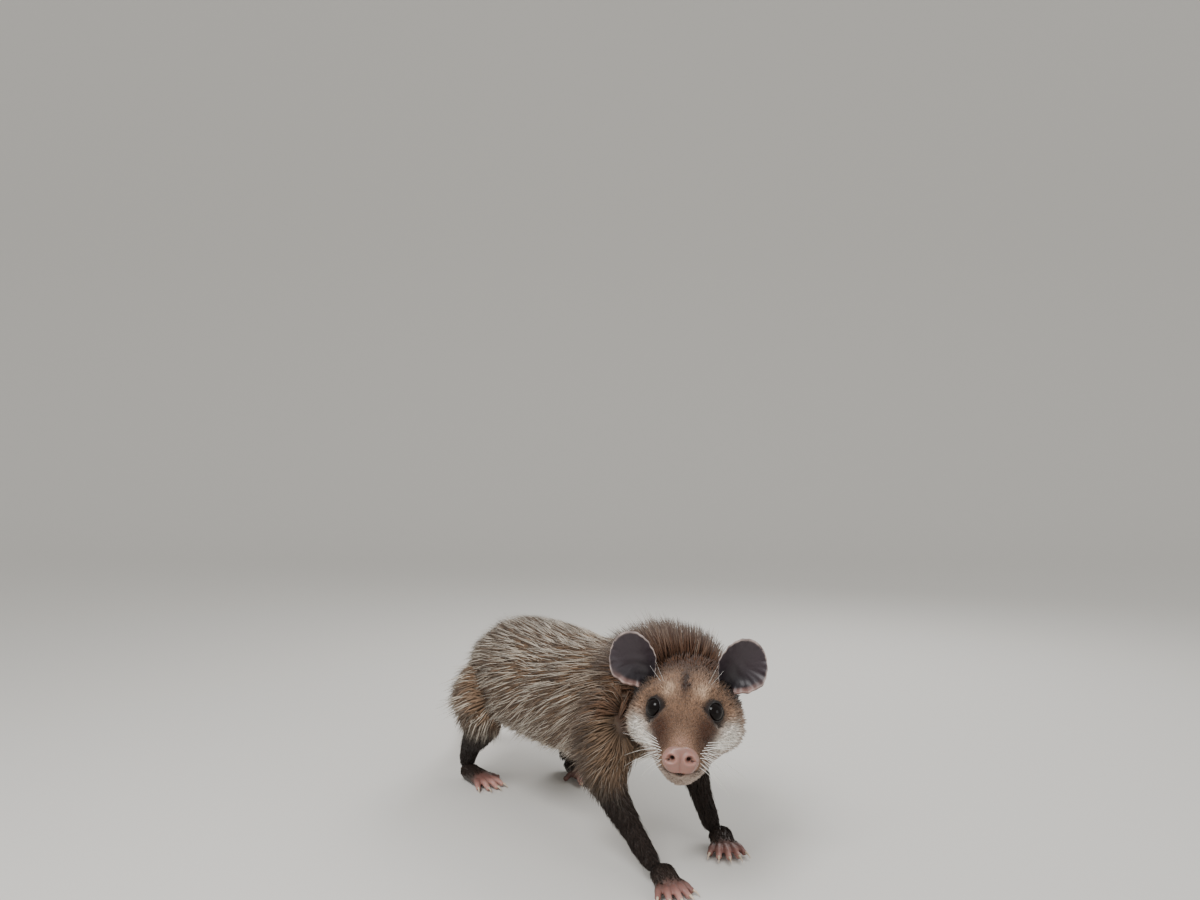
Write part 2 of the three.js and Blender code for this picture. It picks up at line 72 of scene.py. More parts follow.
def add(tree, kind, values=(), links=(), **settings):
    """A new node with its settings, input values and links."""
    node = tree.nodes.new(kind)
    for name, value in settings.items():
        setattr(node, name, value)
    for socket, value in dict(values).items():
        node.inputs[socket].default_value = value
    for socket, source in dict(links).items():
        tree.links.new(source, node.inputs[socket])
    return node


def new_material(name):
    """An empty material, its node tree and the socket that takes the surface."""
    material = bpy.data.materials.new(name)
    material.use_nodes = True
    tree = material.node_tree
    tree.nodes.clear()
    output = tree.nodes.new("ShaderNodeOutputMaterial")
    return material, tree, output.inputs["Surface"]


def keep_piece(piece, slot, *replaced):
    """Ties a finished piece to the frame."""
    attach(piece, "root")
    if replaced:
        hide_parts(*replaced)
    return piece


def object_of(name, mesh, *materials):
    """An object with its mesh and materials, in the scene."""
    piece = bpy.data.objects.new(name, mesh)
    bpy.context.scene.collection.objects.link(piece)
    for material in materials:
        mesh.materials.append(material)
    return piece


def mesh_of(name, bm):
    """The mesh of a finished bmesh."""
    mesh = bpy.data.meshes.new(name)
    bm.to_mesh(mesh)
    bm.free()
    return mesh


def shade_smooth(mesh):
    mesh.polygons.foreach_set("use_smooth", np.ones(len(mesh.polygons), bool))


def smooth_steps(x, low, high):
    """0 below low, 1 above high and a soft slope between."""
    t = np.clip((x - low) / (high - low), 0, 1)
    return t * t * (3 - 2 * t)


def unit(v):
    return v / np.maximum(np.linalg.norm(v, axis=-1, keepdims=True), 1e-9)


# %% [markdown]
# ## The body's lines
#
# An animal's body is drawn first as a few lines: one along the skull, one from the neck to the tail, and one
# down each leg. Each line has stations, with the half width and the height above and below it. A curve
# through the stations gives a smooth tube. The same stations made the solids, so the skin fits inside them.
# They are written in millimetres about the forefeet, and the place of an eye in the frame says how far that
# is from the frame's origin.

# %% Stations of the head, trunk, legs and tail
HEAD_LENGTH = 95
HEAD = [
    [0, -HEAD_LENGTH, -5, 6.8, 5, 6],
    [0, -90, -5.4, 8.8, 6.8, 10.2],
    [0, -83, -5.8, 10.4, 9.4, 14.8],
    [0, -73, -5.8, 13.2, 13, 18.4],
    [0, -63, -5.2, 17.4, 17, 20.6],
    [0, -53, -4.4, 22.6, 21, 21.8],
    [0, -43, -3.4, 26.8, 24, 22],
    [0, -33, -2.6, 28.8, 25.4, 22.4],
    [0, -21, -2, 28.4, 25, 21.8],
    [0, -9, -1, 26, 22.4, 19.5],
    [0, 3, 0, 20, 16, 15],
]
TRUNK = [
    [-4, 16, 89, 21, 18, 17],
    [5, 28, 90, 25, 21, 22],
    [9, 42, 90.5, 27, 24, 27],
    [9, 58, 88, 30, 28, 31],
    [5, 78, 83.5, 34, 32, 35],
    [0, 104, 80, 37, 34, 37],
    [0, 134, 79, 39.5, 35.5, 38],
    [0, 165, 79.5, 40.5, 36, 38.5],
    [0, 195, 79, 38, 35.5, 36],
    [0, 220, 75.5, 31, 30, 30],
    [0, 238, 70.5, 20, 20, 20],
    [1, 252, 64, 11.5, 11.5, 11.5],
]
LEGS = {
    "foreleg_left": [
        [22, 60, 92, 9, 14, 13],
        [31, 56, 74, 11, 15, 14],
        [36, 57, 58, 10.5, 13, 12],
        [37.5, 56, 43, 8, 9.4, 9],
        [36.5, 48, 27, 6.4, 7, 7],
        [35.5, 39, 14, 6, 6.4, 6.6],
        [34.5, 33, 7.5, 5.4, 5.2, 5.2],
    ],
    "foreleg_right": [
        [-18, 58, 92, 9, 14, 13],
        [-27, 54, 74, 11, 15, 14],
        [-32, 52, 58, 10.5, 13, 12],
        [-33, 46, 43, 8, 9.4, 9],
        [-31, 32, 27, 6.4, 7, 7],
        [-29, 18, 14, 6, 6.4, 6.6],
        [-28, 11, 7.5, 5.4, 5.2, 5.2],
    ],
    "hindleg_left": [
        [20, 196, 86, 13, 20, 18],
        [31, 190, 70, 15, 22, 19],
        [37, 182, 56, 13, 18, 16],
        [37.5, 182, 42, 9.6, 12, 11],
        [36, 191, 29, 7.2, 9, 8],
        [34.5, 200, 16, 6.4, 7.4, 7],
        [34, 200, 8, 5.8, 5.8, 5.8],
    ],
    "hindleg_right": [
        [-20, 200, 86, 13, 20, 18],
        [-31, 200, 70, 15, 22, 19],
        [-37, 198, 56, 13, 17.5, 16],
        [-37.5, 204, 42, 9.6, 12, 11],
        [-36, 218, 29, 7.2, 9, 8],
        [-34.5, 229, 16, 6.4, 7.4, 7],
        [-34, 230, 8, 5.8, 5.8, 5.8],
    ],
}
TAIL = [
    [0, 236, 71, 12],
    [1, 252, 63.5, 11],
    [3, 268, 50, 9.6],
    [6, 284, 34, 8.4],
    [11, 302, 19, 7.5],
    [18, 324, 9.6, 6.9],
    [28, 350, 5.9, 6.3],
    [42, 377, 5.3, 5.7],
    [60, 401, 4.7, 5.1],
    [82, 421, 4.1, 4.4],
    [106, 432, 3.4, 3.7],
    [126, 430, 2.8, 3.1],
    [138, 418, 2.2, 2.5],
]

# The soft hollows and swells of the face, as places, reaches and pushes in the head's own frame.
HEAD_MOVES = [
    ([12, -47, 17], [6, 7, 6], [0.4, 0, 1.8]),  # brow
    ([22, -55, 6], [5, 7, 6], [-2.2, 0, 0]),  # hollow before the eye
    ([26, -38, -9], [9, 13, 9], [2, 0, -1]),  # cheek
    ([9, -82, -7], [4, 8, 4], [1.6, 0, -0.4]),  # whisker pad
    ([0, -66, 9], [8, 12, 6], [0, 0, -1.2]),  # bridge of the nose
    ([0, -80, -18], [7, 6, 4], [0, 0, -0.8]),  # chin
]

# %% The head's pose and the way from millimetres to the frame
HEAD_POSE = (
    Matrix.Translation((11.8, 31.3, 93.1))
    @ Matrix.Rotation(math.radians(-42), 4, "Z")
    @ Matrix.Rotation(math.radians(2), 4, "X")
    @ Matrix.Rotation(math.radians(2.5), 4, "Y")
)
EYE_AT = Vector((15, -51, 7))
eye_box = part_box("eye_left")
FRAME_SHIFT = np.array((eye_box[0] + eye_box[1]) / 2 / MM - HEAD_POSE @ EYE_AT)
print("frame shift in mm:", FRAME_SHIFT.round(2))


def moved(points, matrix):
    m = np.array(matrix)
    return points @ m[:3, :3].T + m[:3, 3]


def to_frame(points):
    """From millimetres about the forefeet to metres in the frame."""
    return (np.asarray(points) + FRAME_SHIFT) * MM


def to_head(points):
    """From millimetres about the forefeet to the head's own frame."""
    return moved(points, HEAD_POSE.inverted())


# %% [markdown]
# ## Tubes that follow a line
#
# A tube is a sphere pulled out along its line: its poles become the round ends and its rings slide along
# the stations. Blender's own sphere operator gives the vertices, and one formula places them. The same
# formula also works backwards, and tells for any point how far along the line it is and on which side. The
# coat uses that later to know where it grows and which way it lies.

# %% The tube and its formula
CAP_SHARE = 0.14  # of a sphere's rings, at each end
SPINE_SAMPLES = 90


def through(stations, t):
    """A smooth curve through rows of numbers, at shares t of its way."""
    rows = np.vstack([2 * stations[0] - stations[1], stations, 2 * stations[-1] - stations[-2]])
    x = np.clip(np.asarray(t, float), 0, 1) * (len(stations) - 1)
    i = np.minimum(x.astype(int), len(stations) - 2)
    f = (x - i)[:, None]
    a, b, c, d = rows[i], rows[i + 1], rows[i + 2], rows[i + 3]
    return b + 0.5 * f * (c - a + f * (2 * a - 5 * b + 4 * c - d + f * (3 * (b - c) + d - a)))


class Tube:
    def __init__(self, stations, caps=(0.06, 0.06), moves=()):
        rows = [list(s) + [s[3]] * (6 - len(s)) for s in stations]
        self.stations = np.array(rows, float)
        self.caps = caps
        self.moves = moves
        steps = np.linspace(0, 1, SPINE_SAMPLES)
        self.middle, self.tangent, self.side, self.up, self.girth = self.frame_at(steps)
        self.step = np.linalg.norm(np.gradient(self.middle, axis=0), axis=1)

    def frame_at(self, t):
        values = through(self.stations, t)
        ahead = through(self.stations[:, :3], np.clip(t + 1e-3, 0, 1))
        behind = through(self.stations[:, :3], np.clip(t - 1e-3, 0, 1))
        tangent = unit(ahead - behind)
        side = unit(np.array([1.0, 0, 0]) - tangent * tangent[:, :1])
        return values[:, :3], tangent, side, np.cross(side, tangent), values[:, 3:]

    def at(self, t, angle, lift=0.0, full=1.0):
        middle, _, side, up, girth = self.frame_at(t)
        tall = np.where(np.sin(angle) >= 0, girth[:, 1], girth[:, 2])
        made = middle + side * ((girth[:, 0] + lift) * full * np.cos(angle))[:, None]
        made = made + up * ((tall + lift) * full * np.sin(angle))[:, None]
        return swell(made, self.moves)

    def locate(self, points):
        """Each point's share of the line, its angle, how many half girths out it is, and the tangent."""
        found = [np.empty(len(points)) for _ in range(3)] + [np.empty((len(points), 3))]
        for start in range(0, len(points), 20000):
            p = points[start : start + 20000]
            apart = ((p[:, None, :] - self.middle[None]) ** 2).sum(2)
            nearest = apart.argmin(1)
            off = p - self.middle[nearest]
            across = (off * self.side[nearest]).sum(1) / self.girth[nearest, 0]
            high = (off * self.up[nearest]).sum(1)
            high = high / np.where(high >= 0, self.girth[nearest, 1], self.girth[nearest, 2])
            part = slice(start, start + len(p))
            ahead = np.clip((off * self.tangent[nearest]).sum(1) / self.step[nearest], -0.5, 0.5)
            found[0][part] = np.clip((nearest + ahead) / (SPINE_SAMPLES - 1), 0, 1)
            found[1][part] = np.arctan2(high, across)
            past = np.abs((off * self.tangent[nearest]).sum(1)) / self.girth[nearest, 0]
            found[2][part] = np.sqrt(across**2 + high**2 + past**2)
            found[3][part] = self.tangent[nearest]
        return found


def swell(points, moves):
    """Pushes points near each named place, on both sides, fading with distance."""
    out = points.copy()
    for at, size, push in moves:
        for sign in (1, -1) if at[0] else (1,):
            away = (points - np.array([sign * at[0], at[1], at[2]])) / size
            weight = np.exp(-(away**2).sum(1))[:, None]
            out += weight * np.array([sign * push[0], push[1], push[2]])
    return out


def add_tube(bm, tube, lift=0.0, around=40, along=60, matrix=None):
    """Pulls a sphere out along the tube's line."""
    ball = bmesh.ops.create_uvsphere(bm, u_segments=around, v_segments=along, radius=1)["verts"]
    co = np.array([v.co for v in ball])
    ring = np.arccos(np.clip(co[:, 2], -1, 1)) / math.pi
    start, end = tube.caps
    into = np.clip(ring / CAP_SHARE, 0, 1) * math.pi / 2
    out_of = np.clip((1 - ring) / CAP_SHARE, 0, 1) * math.pi / 2
    straight = np.clip((ring - CAP_SHARE) / (1 - 2 * CAP_SHARE), 0, 1)
    t = start + (1 - end - start) * straight
    t = np.where(ring < CAP_SHARE, start * (1 - np.cos(into)), t)
    t = np.where(ring > 1 - CAP_SHARE, 1 - end * (1 - np.cos(out_of)), t)
    full = np.minimum(np.sin(into), np.sin(out_of))
    made = tube.at(t, np.arctan2(co[:, 1], co[:, 0]), lift, full)
    if matrix is not None:
        made = moved(made, matrix)
    for vertex, place in zip(ball, made):
        vertex.co = place
    return ball


head_tube = Tube(HEAD, (0.035, 0.06), HEAD_MOVES)
trunk_tube = Tube(TRUNK, (0.05, 0.03))
leg_tubes = {name: Tube(stations, (0.1, 0.06)) for name, stations in LEGS.items()}
tail_tube = Tube(TAIL, (0.02, 0.015))
print("tubes:", 3 + len(leg_tubes))

# %% [markdown]
# ## Feet
#
# An opossum's feet are bare hands: a broad palm with five spread toes. The hind foot's first toe is a thumb
# without a claw, which stands out to the inside. Each toe is a small tube. They are grown together with the
# palm by a fine voxel remesh, which gives the webbed creases between them.

# %% Palms and toes
# A palm has stations like the body's. A toe has its turn in degrees, its length and the place of its root.
FEET = {
    "hand": {
        "palm": [
            [0, -8, 3.6, 6.6, 3.4, 4.2],
            [0, -3, 4.4, 7.6, 4.4, 5],
            [0, 4, 6.2, 6.8, 5.4, 7],
            [0, 9, 8.4, 5.6, 5, 9],
        ],
        "toes": [
            (-30, 14, -4.6, -1),
            (-14, 16.5, -2.8, -2.6),
            (-1, 17.5, 0, -3),
            (12, 17, 2.8, -2.6),
            (28, 15, 4.8, -1.2),
        ],
    },
    "foot": {
        "palm": [
            [0, -12, 3.6, 7.2, 3.4, 4.2],
            [0, -5, 4.6, 8.4, 4.4, 5],
            [0, 5, 5.4, 7, 5, 6],
            [0, 17, 6.2, 6, 6, 7],
        ],
        "toes": [
            (-64, 15, -3, -2),
            (-14, 17.5, -4, -7),
            (-1, 19, -0.8, -7.6),
            (11, 18, 2.6, -7.4),
            (27, 15.5, 5, -5.6),
        ],
    },
}
FOOT_PLACES = {
    "foreleg_left": ((33.6, 25, 0), -28, "hand"),
    "foreleg_right": ((-27, 3, 0), -14, "hand"),
    "hindleg_left": ((34, 184, 0), -8, "foot"),
    "hindleg_right": ((-34, 215, 0), 8, "foot"),
}


def side_of(leg):
    return 1 if leg.endswith("left") else -1


def foot_matrix(leg):
    place, heading, _ = FOOT_PLACES[leg]
    turned = Matrix.Translation(place) @ Matrix.Rotation(math.radians(heading), 4, "Z")
    return turned @ Matrix.Diagonal((side_of(leg), 1, 1, 1))


def toe_line(toe, is_thumb):
    """Stations of a toe, from its tip back to its root."""
    turn, reach, x, y = toe
    ahead = np.array([math.sin(math.radians(turn)), -math.cos(math.radians(turn))])
    tip = 2.5 if is_thumb else 2.0
    rows = [(0.86, tip - 0.1, tip), (0.72, 2.8, 1.75), (0.52, 4.0, 2.15), (0.3, 4.6, 2.1), (0, 4.4, 2.6)]
    return [[*(np.array([x, y]) + ahead * reach * share), z, girth, girth, girth] for share, z, girth in rows]


def foot_mesh(bm, leg):
    """Adds a palm and its toes, set on the floor at their place."""
    kind = FOOT_PLACES[leg][2]
    made = add_tube(bm, Tube(FEET[kind]["palm"], (0.22, 0.2)), 0, 24, 20)
    for i, toe in enumerate(FEET[kind]["toes"]):
        made += add_tube(bm, Tube(toe_line(toe, kind == "foot" and i == 0), (0.14, 0.1)), 0, 16, 20)
    matrix = foot_matrix(leg)
    for vertex in made:
        vertex.co = matrix @ vertex.co
        vertex.co.z = max(vertex.co.z, 0.15)


# %% [markdown]
# ## One skin
#
# The tubes of the trunk and legs cross one another, as clay rolls pressed together would. A voxel remesh
# wraps one surface round them all, and a little smoothing turns the creases into shoulders and hips. The
# head and the feet are wrapped more finely, because they show bare detail, and they meet the body under the
# long coat. The skin lies inside the solids by the depth of the short fur.

# %% Wrap the tubes
def wrapped(name, fill, voxel, smoothing):
    """The mesh that a voxel remesh wraps round what fill adds, in millimetres."""
    bm = bmesh.new()
    fill(bm)
    bmesh.ops.recalc_face_normals(bm, faces=bm.faces)
    mesh = mesh_of(name, bm)
    piece = object_of(name, mesh)
    remesh = piece.modifiers.new("wrap", "REMESH")
    remesh.mode = "VOXEL"
    remesh.voxel_size = voxel
    soften = piece.modifiers.new("soften", "SMOOTH")
    soften.factor = 0.5
    soften.iterations = smoothing
    seen = piece.evaluated_get(bpy.context.evaluated_depsgraph_get())
    made = bpy.data.meshes.new_from_object(seen)
    bpy.data.objects.remove(piece)
    bpy.data.meshes.remove(mesh)
    print(name, "faces:", len(made.polygons))
    return made


HEAD_DEPTH, TRUNK_DEPTH, LEG_DEPTH = 1.0, 2.0, 1.2


def fill_body(bm):
    add_tube(bm, trunk_tube, -TRUNK_DEPTH, 56, 90)
    for tube in leg_tubes.values():
        add_tube(bm, tube, -LEG_DEPTH, 32, 60)


def fill_head(bm):
    add_tube(bm, head_tube, -HEAD_DEPTH, 80, 120)


def coordinates(mesh):
    co = np.empty(len(mesh.vertices) * 3, np.float32)
    mesh.vertices.foreach_get("co", co)
    return co.reshape(-1, 3).astype(float)


def set_coordinates(mesh, co):
    mesh.vertices.foreach_set("co", co.astype(np.float32).ravel())
    mesh.update()


# Voxel sizes in mm, and rounds of smoothing.
BODY_WRAP, HEAD_WRAP, FOOT_WRAP = (1.7, 8), (0.78, 4), (0.62, 2)
body_mesh = wrapped("body_wrap", fill_body, *BODY_WRAP)
head_mesh = wrapped("head_wrap", fill_head, *HEAD_WRAP)
foot_meshes = [wrapped(leg, lambda bm, leg=leg: foot_mesh(bm, leg), *FOOT_WRAP) for leg in FOOT_PLACES]

# %% [markdown]
# ## Lids, lips and the mouth
#
# The head's skin is now a smooth clay form. Around each eye its vertices are laid on the eyeball, a lid's
# thickness out, and those in the opening between the lids sink behind the ball, so that the lid's edge is a
# crisp line. The mouth is a crease along both jaws, with the lips standing out a little above and below it.

# %% Shape the face
EYE_RADIUS = 5.6
EYE_GAZE = unit(np.array([0.62, -0.72, 0.3]))
EYE_OPENING = (1.04, 1.0)  # half the opening's width and height, as angles at the eye's middle
LID = 0.45
LID_REACH = 2.2  # of the eye's radius, where the lids end
NOSE_RECESS = 4.5  # mm that the skin stands back behind the bare pad
MOUTH = np.array([[-98, -11.8], [-91, -12.6], [-80, -14], [-68, -13.4], [-57, -10.6]], float)


def eye_axes(sign):
    """The eye's middle, its gaze, and the ways across and up from it."""
    gaze = EYE_GAZE * [sign, 1, 1]
    across = unit(np.cross([0, 0, 1.0], gaze))
    return np.array(EYE_AT) * [sign, 1, 1], gaze, across, np.cross(gaze, across)


def eye_limit(turn):
    """The angle from the gaze at which the lid's edge lies, for a turn round the gaze."""
    return 1 / np.hypot(np.cos(turn) / EYE_OPENING[0], np.sin(turn) / EYE_OPENING[1])


def eye_share(points, sign):
    """How far from the middle of the opening a point of the head is, where 1 is the lid's edge."""
    centre, gaze, across, upward = eye_axes(sign)
    away = unit(points - centre)
    turn = np.arctan2(away @ upward, away @ across)
    share = np.arccos(np.clip(away @ gaze, -1, 1)) / eye_limit(turn)
    return share, np.linalg.norm(points - centre, axis=1)


def eye_ring(points):
    """As eye_share for the nearer eye, and growing with distance from it."""
    rings = [eye_share(points, sign) for sign in (1, -1)]
    return np.min([share + np.maximum(distance - 8.5, 0) / 3 for share, distance in rings], axis=0)


def mouth_distance(points):
    """The distance to the mouth's line, seen from the side, above it or below it."""
    line = through(MOUTH, np.linspace(0, 1, 60))
    away = points[:, None, 1:3] - line[None]
    nearest = (away**2).sum(2).argmin(1)
    chosen = away[np.arange(len(points)), nearest]
    return np.hypot(chosen[:, 0], chosen[:, 1]) * np.where(chosen[:, 1] >= 0, 1, -1)


def nose_edge(p):
    """How far back the bare pad reaches: least at the middle of its top and at its lower corners."""
    turn = np.degrees(np.arctan2(p[:, 2] + 5.4, np.abs(p[:, 0])))
    return -90.3 - 2.2 * np.exp(-(((turn - 90) / 32) ** 2)) - 1.8 * np.exp(-(((turn + 50) / 30) ** 2))


def shape_face(points, normals):
    """Lays the lids on the eyes, presses in the mouth's line and sets the skin back behind the nose pad."""
    out = points.copy()
    for sign in (1, -1):
        share, distance = eye_share(out, sign)
        centre = eye_axes(sign)[0]
        near = distance < EYE_RADIUS * LID_REACH
        hugging = (1 - smooth_steps(share, 1.2, 1.75)) * near
        lid = EYE_RADIUS + LID + 0.45 * smooth_steps(share, 1.0, 1.25)
        target = np.where(share < 1, EYE_RADIUS * 0.86, lid)
        radius = distance + (target - distance) * hugging
        out = np.where(near[:, None], centre + unit(out - centre) * radius[:, None], out)
    off = mouth_distance(points)
    here = (points[:, 1] < -54) * smooth_steps(-points[:, 1], 54, 60)
    crease = -1.8 * np.exp(-((off / 0.8) ** 2)) + 0.5 * np.exp(-(((np.abs(off) - 1.9) / 1.1) ** 2))
    out = out + normals * (crease * here)[:, None]
    out[:, 1] += NOSE_RECESS * (1 - smooth_steps(points[:, 1] - nose_edge(points), -1.4, -0.2))
    return out


def vertex_normals(mesh):
    normals = np.empty(len(mesh.vertices) * 3, np.float32)
    mesh.vertex_normals.foreach_get("vector", normals)
    return normals.reshape(-1, 3).astype(float)


set_coordinates(head_mesh, shape_face(coordinates(head_mesh), vertex_normals(head_mesh)))
head_local = coordinates(head_mesh)
set_coordinates(head_mesh, moved(head_local, HEAD_POSE))

# %% [markdown]
# ## What grows where
#
# A young Virginia opossum has a pale face with a dark eye ring, a brown muzzle, cream cheeks and a dark mark
# up the middle of its forehead. Its ears are black, and their pale rim is a painted highlight. The body's
# underfur is pale with dark tips, and the legs are brown-black. All this is written as one function of the
# place on the animal, so that the skin and the hairs that grow from it always agree.

# %% Regions and their colours
FACE_TAN = linear("#90715a")
MUZZLE_BROWN = linear("#4a2f20")
NOSE_BRIDGE = linear("#a07c69")
CHEEK_CREAM = linear("#efe8de")
# Chin: the paler fur under the jaw, darkened with painted shade under the head.
PALE_CHIN_IN_PAINTED_SHADE = linear("#ab988b")
EYE_RING = linear("#241a17")
BROW_SPOT = linear("#c6a98f")
FOREHEAD_MARK = linear("#3c271c")
EAR_BASE = linear("#221b1a")
CREST = linear("#573b2a")
BACK_UNDER = linear("#7c614a")
FLANK_UNDER = linear("#8a705a")
BELLY = linear("#b39b83")
THIGH = linear("#77604c")
LEG_DARK = linear("#2c221d")
TAIL_ROOT = linear("#3a302c")
TAIL_PINK = linear("#b49a8b")
TAIL_PALE = linear("#d8c2b4")
# Lips: their darker skin, with painted shade in the mouth's crease.
LIP_DARK_AND_CREASE_SHADE = linear("#4b3029")
FACE_TIP = linear("#f2ebe0")
UNDERFUR_PALE_TIP = linear("#dccdb9")
UNDERFUR_DARK_TIP = linear("#33261f")
GUARD_PALE = linear("#e6dac8")
GUARD_TIP = linear("#f2ece2")
PALM_DARK = linear("#33261f")
PALM_PINK = linear("#8d625a")
TOE_PINK = linear("#c4958a")

EAR_ROOT = np.array([20.5, -25, 11.5])


def folded(points):
    """The head's points with the right half laid over the left."""
    return np.column_stack([np.abs(points[:, 0]), points[:, 1], points[:, 2]])


def blob(points, centre, size):
    """1 at a place on both sides of the head, fading to 0 about one size away from it."""
    return np.exp(-(((folded(points) - np.array(centre, float)) / size) ** 2).sum(1))


def blend(colours, other, share):
    return colours + (other - colours) * np.clip(share, 0, 1)[:, None]


# Marks that fade out from a place on the head: colour, strength, place and reach.
MUZZLE_MARKS = [
    (MUZZLE_BROWN, 1.3, (11.5, -68, 0), (8, 13, 9)),
    (MUZZLE_BROWN, 0.85, (9, -82, -2), (6, 9, 6)),
    (MUZZLE_BROWN, 0.45, (0, -72, 9), (9, 11, 8)),
    (NOSE_BRIDGE, 1, (0, -88, 4), (5, 6, 7)),
    (CHEEK_CREAM, 1.4, (24, -50, -6), (8, 9, 6)),
    (CHEEK_CREAM, 1.1, (19, -59, -8), (6.5, 9, 4.6)),
]
FOREHEAD_MARKS = [
    (BROW_SPOT, 1, (9, -52.5, 17), (3.4, 4.2, 3.6)),
    (FOREHEAD_MARK, 1.3, (0, -46, 20), (2.8, 14, 12)),
    (FOREHEAD_MARK, 0.65, (0, -28, 25), (10, 9, 9)),
]
EYE_MARKS = [
    (EYE_RING, 0.7, (11.8, -57.5, 3.5), (2.2, 4, 2.2)),
    (EYE_RING, 0.4, (19.5, -46, 10.5), (2.4, 3.6, 2.2)),
    (EAR_BASE, 1.5, EAR_ROOT + [2.5, -2, -1], (10, 9, 10)),
]


def marked(colours, p, marks):
    for colour, strength, place, reach in marks:
        colours = blend(colours, colour, strength * blob(p, place, reach))
    return colours


def head_colours(p):
    """Colours of the face, with painted shade under the jaw and along the mouth's crease, for points in the
    head's own frame.
    """
    y, z = p[:, 1], p[:, 2]
    out = blend(np.tile(FACE_TAN, (len(p), 1)), CREST, smooth_steps(y, -38, -14) * smooth_steps(z, 2, 14))
    out = marked(out, p, MUZZLE_MARKS)
    # Underneath the head: the chin's paler fur, toned down by painted shade.
    out = blend(out, PALE_CHIN_IN_PAINTED_SHADE, smooth_steps(-z, 11.5, 15))
    # Along the mouth: the lips' darker skin and painted shade of the crease.
    lips = np.exp(-(mouth_distance(p) ** 2)) * smooth_steps(-y, 58, 66)
    out = marked(blend(out, LIP_DARK_AND_CREASE_SHADE, 0.95 * lips), p, FOREHEAD_MARKS)
    out = blend(out, CREST, 0.9 * smooth_steps(y, -32, -14))
    out = blend(out, EYE_RING, 1 - smooth_steps(eye_ring(p), 1.18, 1.6))
    return marked(out, p, EYE_MARKS)


def trunk_colours(t, angle):
    """Underfur colours of the trunk, by the share of its line and the angle round it."""
    top = smooth_steps(np.sin(angle), -0.5, 0.9)
    out = blend(np.tile(FLANK_UNDER, (len(t), 1)), BACK_UNDER, top)
    out = blend(out, BELLY, 1 - smooth_steps(np.sin(angle), -0.85, -0.35))
    out = blend(out, CREST, (1 - smooth_steps(t, 0.14, 0.36)) * (0.75 + 0.25 * top))
    return blend(out, TAIL_ROOT, smooth_steps(t, 0.9, 0.99))


ALL_TUBES = {"head": head_tube, "trunk": trunk_tube, **leg_tubes}


def regions(points):
    """Which tube each point lies nearest to, and its share, angle and backward line on that tube."""
    names = list(ALL_TUBES)
    best = np.full(len(points), 9e9)
    which = np.zeros(len(points), int)
    t, angle = np.zeros(len(points)), np.zeros(len(points))
    along = np.zeros((len(points), 3))
    for i, name in enumerate(names):
        local = to_head(points) if name == "head" else points
        share, turn, out, tangent = ALL_TUBES[name].locate(local)
        if name == "head":
            tangent = tangent @ np.array(HEAD_POSE)[:3, :3].T
            out = np.where(local[:, 1] > -4, out + 0.08 * (local[:, 1] + 4), out)
        if name in leg_tubes:
            out = out + 0.6 * smooth_steps(points[:, 2], 56, 76)
        closer = out < best
        best, which = np.where(closer, out, best), np.where(closer, i, which)
        t, angle = np.where(closer, share, t), np.where(closer, turn, angle)
        along[closer] = tangent[closer]
    return np.array(names)[which], t, angle, along


def body_colours(points, found=None):
    """Underfur colours for points anywhere on the animal."""
    name, t, angle, _ = found or regions(points)
    out = np.zeros((len(points), 3))
    on_head = name == "head"
    if on_head.any():
        out[on_head] = head_colours(to_head(points[on_head]))
    on_trunk = name == "trunk"
    if on_trunk.any():
        out[on_trunk] = trunk_colours(t[on_trunk], angle[on_trunk])
    on_leg = ~(on_head | on_trunk)
    height = points[:, 2]
    dark = 1 - smooth_steps(height, 42, 68)
    out[on_leg] = blend(np.tile(THIGH, (on_leg.sum(), 1)), LEG_DARK, np.maximum(dark[on_leg], 0.12))
    return blend(out, LEG_DARK, np.where(on_trunk, 0.5 * (1 - smooth_steps(height, 40, 58)), 0))


# %% [markdown]
# ## Join the skin
#
# The wrapped body, head and feet and the bare tail become one object, so that no seam shows where the solids
# were parted. Its faces carry one of three materials: furred skin, the padded skin of the feet and the
# scaled skin of the tail. A colour attribute holds the markings, darkened by painted shade of the coat where
# fur grows, and a UV map runs once round and along the tail for the fine scales.

# %% Skin materials
def mottled_marks_and_light(tree, per_metre, detail, variation):
    """The colour attribute's markings and painted light, lighter and darker under a fine noise; also the
    noise and its coordinates.
    """
    marks_and_painted_light = add(tree, "ShaderNodeAttribute", attribute_name="marks_and_painted_light")
    where = add(tree, "ShaderNodeTexCoord").outputs["Object"]
    noise = add(tree, "ShaderNodeTexNoise", {"Scale": per_metre, "Detail": detail}, {"Vector": where})
    swing = {"To Min": 1 - variation, "To Max": 1 + variation}
    tint = add(tree, "ShaderNodeMapRange", swing, {"Value": noise.outputs["Fac"]})
    links = {0: marks_and_painted_light.outputs["Color"], "Scale": tint.outputs["Result"]}
    colour = add(tree, "ShaderNodeVectorMath", links=links, operation="SCALE")
    return colour.outputs["Vector"], noise.outputs["Fac"], where


